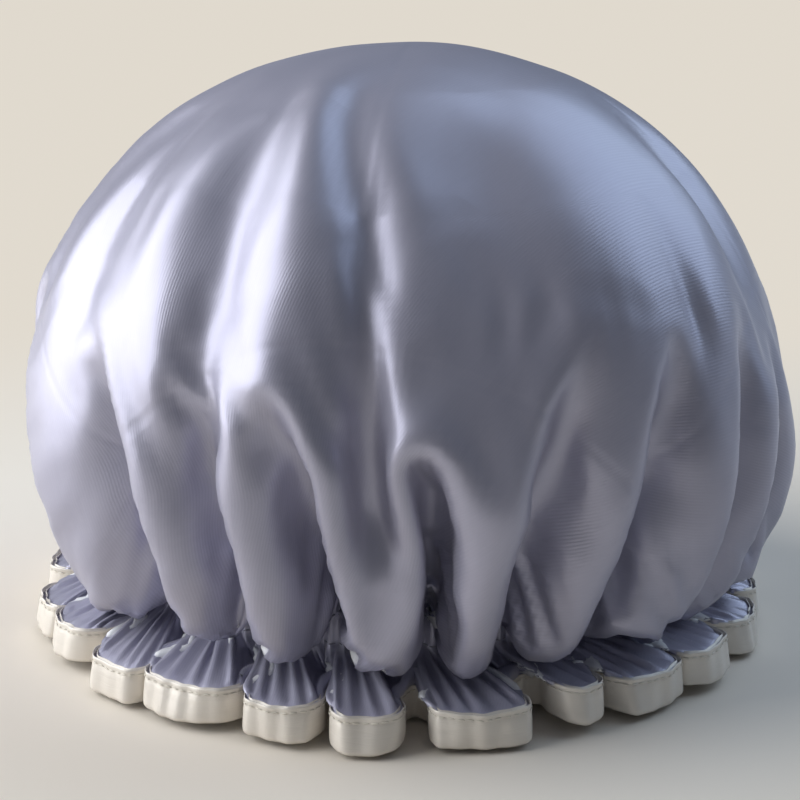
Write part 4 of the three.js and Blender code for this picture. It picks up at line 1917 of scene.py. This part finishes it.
@dataclass
class ElasticRing:
    """The braided elastic in the casing, with its ends lapped and joined by a zigzag.

    The names in capitals are shares: of the band's width that the zigzag takes to each side, of the lap
    where it starts and that it covers, and of a stitch's length that lies to each side of its middle.
    """

    ZIGZAG_HALF_WIDTH = 0.28
    ZIGZAG_START = 0.13
    ZIGZAG_COVER = 0.72
    ZIGZAG_HALF_LENGTH = 0.52

    radius: float
    floor: float
    top: float
    lap: float = 16.0 * MM
    lap_ramp: float = 12.0 * MM
    lap_step: float = 1.5 * MM
    thickness: float = 1.2 * MM
    cords: int = 7
    rib_depth: float = 0.15
    edge_fullness: float = 0.35
    columns: int = 420
    zigzags: int = 4
    zigzag_lift: float = 0.3 * MM
    zigzag_thread: tuple[float, float] = (0.25 * MM, 0.2 * MM)

    def line(self, travel: np.ndarray, inward: np.ndarray | float) -> tuple[np.ndarray, np.ndarray]:
        """The band's middle line.

        Args:
            travel: distances along the band from its outer end.
            inward: how far inside the middle line the points lie.

        Returns:
            The radius and the azimuth of each point.
        """
        turn = TURN * self.radius
        under = self.lap_step * ramp(turn - self.lap_ramp, turn, travel)
        return self.radius - under - inward, 90.0 - 360.0 * travel / turn

    def band(self) -> bpy.types.Object:
        """Braids the band: a strip with a cord for each rib of its faces.

        Returns:
            The band.
        """
        length = TURN * self.radius + self.lap
        across = 4 * self.cords
        strip = bmesh.new()
        bmesh.ops.create_grid(strip, x_segments=self.columns, y_segments=2 * across, size=0.5)
        shape = np.array([point.co for point in strip.verts]) + 0.5
        travel, turn = shape[:, 0] * length, shape[:, 1] * TURN
        ridge = np.abs(np.sin(self.cords * np.pi * (0.5 + 0.5 * np.cos(turn))))
        rib = 1.0 - self.rib_depth + self.rib_depth * ridge
        rounded = np.sign(np.sin(turn)) * np.abs(np.sin(turn)) ** self.edge_fullness
        flat = 0.5 * self.thickness * rounded * rib
        middle, half = 0.5 * (self.top + self.floor), 0.5 * (self.top - self.floor)
        radius, azimuth = self.line(travel, flat)
        for point, spot in zip(strip.verts, placed(radius, azimuth, middle + half * np.cos(turn))):
            point.co = spot
        bmesh.ops.remove_doubles(strip, verts=strip.verts, dist=1e-6)
        bmesh.ops.holes_fill(strip, edges=[edge for edge in strip.edges if edge.is_boundary])
        bmesh.ops.recalc_face_normals(strip, faces=strip.faces)
        return new_piece("elastic_band_braid", strip)

    def join(self) -> bpy.types.Object:
        """Sews the lapped ends together with a zigzag.

        Returns:
            The zigzag.
        """
        turn = TURN * self.radius
        middle = 0.5 * (self.top + self.floor)
        half = self.ZIGZAG_HALF_WIDTH * (self.top - self.floor)
        place = np.linspace(0.0, 1.0, 2 * self.zigzags + 1)
        travel = turn + self.lap * (self.ZIGZAG_START + self.ZIGZAG_COVER * place)
        radius, azimuth = self.line(travel, 0.5 * self.thickness + self.zigzag_lift)
        height = middle + half * np.where(np.arange(len(place)) % 2 == 0, 1.0, -1.0)
        corners = placed(radius, azimuth, height)
        bead = stitch_bead()
        thread = bmesh.new()
        for start, end in zip(corners, corners[1:]):
            forward, outward = Vector(end - start), Vector((start[0], start[1], 0.0))
            size = (self.ZIGZAG_HALF_LENGTH * forward.length, *self.zigzag_thread)
            lay_stitch(thread, bead, Vector(0.5 * (start + end)), forward, outward, size)
        bpy.data.meshes.remove(bead)
        bmesh.ops.recalc_face_normals(thread, faces=thread.faces)
        return new_piece("elastic_join_zigzag", thread)

    def build(self) -> tuple[bpy.types.Object, bpy.types.Object]:
        """Makes the band and its join."""
        return self.band(), self.join()

    def dress(self, band: bpy.types.Object, join: bpy.types.Object) -> None:
        """Gives both their finishes."""
        wear(band, BRAID.material(), Body.ELASTIC, "elastic_band")
        wear(join, IVORY_THREAD.material(), Body.ELASTIC, "elastic_join_stitch")


FLOOR_TONE = (0.90, 0.83, 0.73)
BACKDROP_TONE = (0.74, 0.69, 0.61)
SKY_TONE = (0.80, 0.87, 1.0)
BLACK = (0.0, 0.0, 0.0)


@dataclass(frozen=True)
class Lamp:
    """A square soft lamp: where it hangs, its side, its power in watts and its colour."""

    AIM = Vector((0.0, 0.0, 0.08))

    name: str
    place: tuple[float, float, float]
    side: float
    power: float
    colour: Colour

    def hang(self) -> None:
        """Hangs the lamp, looking at the cap."""
        data = bpy.data.lights.new(self.name, "AREA")
        data.shape = "SQUARE"
        data.size = self.side
        data.energy = self.power
        data.color = self.colour
        lamp = bpy.data.objects.new(self.name, data)
        lamp.location = self.place
        lamp.rotation_euler = (self.AIM - Vector(self.place)).to_track_quat("-Z", "Y").to_euler()
        bpy.context.scene.collection.objects.link(lamp)


KEY = Lamp("key", (-1.10, 0.06, 0.52), 1.5, 27.0, (0.97, 0.985, 1.0))
SKY = Lamp("sky", (0.85, 0.55, 0.95), 1.4, 10.0, (0.66, 0.81, 1.0))


class Studio:
    """The plain floor, soft lamps and camera.

    Past the distances in CLEAR_FLOOR from the cap, the camera sees the floor in the backdrop's tone.
    """

    FLOOR_SIZE = 6.0
    CLEAR_FLOOR = (0.12, 0.42)
    SKY_LEVEL = 0.10
    SENSOR_MM = 36.0
    VIEW_PX = 800.0
    FOCAL_PX = 2259.0
    ELEVATION = math.radians(16.0)
    DISTANCE = 0.688
    TARGET_HEIGHT = 0.0666

    def floor(self) -> None:
        """Lays the pale floor."""
        ground = bmesh.new()
        bmesh.ops.create_grid(ground, x_segments=1, y_segments=1, size=self.FLOOR_SIZE)
        piece = new_piece("floor", ground)
        shader = Shader("pale_floor")
        where = shader.node("ShaderNodeTexCoord").outputs["Object"]
        away = shader.node("ShaderNodeVectorMath", operation="LENGTH")
        shader.link(where, away.inputs[0])
        far = shader.node("ShaderNodeMapRange", interpolation_type="SMOOTHSTEP")
        far.inputs["From Min"].default_value, far.inputs["From Max"].default_value = self.CLEAR_FLOOR
        shader.link(away.outputs["Value"], far.inputs["Value"])
        seen = shader.node("ShaderNodeMath", operation="MULTIPLY")
        shader.link(far.outputs["Result"], seen.inputs[0])
        shader.link(shader.node("ShaderNodeLightPath").outputs["Is Camera Ray"], seen.inputs[1])
        shader.feed(
            Base_Color=shader.blend(seen.outputs["Value"], FLOOR_TONE, BLACK),
            Emission_Color=shader.blend(seen.outputs["Value"], BLACK, BACKDROP_TONE),
        )
        shader.set(Roughness=0.85, Specular_IOR_Level=0.2, Emission_Strength=1.0)
        piece.data.materials.append(shader.material)

    def light(self) -> None:
        """Lights the cap from the left, with a weak fill from the right and from all round."""
        KEY.hang()
        SKY.hang()
        world = bpy.data.worlds.new("studio")
        world.use_nodes = True
        sky = NodeTree(world.node_tree)
        seen = sky.node("ShaderNodeLightPath").outputs["Is Camera Ray"]
        background = world.node_tree.nodes["Background"]
        sky.link(sky.blend(seen, SKY_TONE, BACKDROP_TONE), background.inputs["Color"])
        sky.link(sky.spread(seen, self.SKY_LEVEL, 1.0), background.inputs["Strength"])
        bpy.context.scene.world = world

    def camera(self) -> None:
        """Sets the camera at the photograph's viewing angle."""
        data = bpy.data.cameras.new("camera")
        data.sensor_width = self.SENSOR_MM
        data.lens = data.sensor_width * self.FOCAL_PX / self.VIEW_PX
        camera = bpy.data.objects.new("camera", data)
        back = Vector((0.0, -math.cos(self.ELEVATION), math.sin(self.ELEVATION)))
        camera.location = Vector((0.0, 0.0, self.TARGET_HEIGHT)) + self.DISTANCE * back
        camera.rotation_euler = (math.pi / 2 - self.ELEVATION, 0.0, 0.0)
        bpy.context.scene.collection.objects.link(camera)
        bpy.context.scene.camera = camera

    def build(self) -> None:
        """Sets the stage."""
        self.floor()
        self.light()
        self.camera()
        bpy.context.scene.view_settings.view_transform = "Standard"


WIDEST_HEIGHT = 54.0 * MM
CROWN_ROOM = 2.5 * MM
THREAD_STAND_OFF = 1.15 * MM
CASING_MARGIN = 0.6 * MM
TUNNEL_RADIUS = 74.0 * MM
HEM_MARGIN = 1.0 * MM


def measured_form() -> CapForm:
    """The cap's form, with its main sizes read from the frame.

    Returns:
        The form.
    """
    satin_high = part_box("satin_shell")[1]
    upper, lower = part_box("casing_upper_stitch"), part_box("casing_lower_stitch")
    return CapForm(
        crown_top=satin_high[2] - CROWN_ROOM,
        crown_reach=satin_high[0],
        widest_height=WIDEST_HEIGHT,
        casing_radius=upper[1][0] - THREAD_STAND_OFF,
        casing_top=upper[1][2] + CASING_MARGIN,
        casing_floor=lower[0][2] - CASING_MARGIN,
        hem_reach=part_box("edge_binding")[1][0],
    )


def main() -> None:
    """Builds the cap piece by piece and sets the stage."""
    logging.basicConfig(level=logging.INFO, format="%(name)s: %(message)s")
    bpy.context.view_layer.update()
    form = measured_form()
    binding = EdgeBinding(form)
    shell = SatinShell(form, hem=binding.width + HEM_MARGIN)
    satin = shell.build()
    lining = Lining(form, satin, tunnel_radius=TUNNEL_RADIUS)
    film = lining.build()
    shell.dress(satin)
    lining.dress(film)
    binding.dress(*binding.build())
    upper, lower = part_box("casing_upper_stitch"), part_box("casing_lower_stitch")
    casing = Casing(form, 0.5 * (upper[0][2] + upper[1][2]), 0.5 * (lower[0][2] + lower[1][2]))
    casing.dress(*casing.build())
    band_low, band_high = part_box("elastic_band")
    elastic = ElasticRing(band_high[0] - 0.5 * ElasticRing.thickness, band_low[2], band_high[2])
    elastic.dress(*elastic.build())
    Studio().build()


if __name__ == "__main__":
    main()
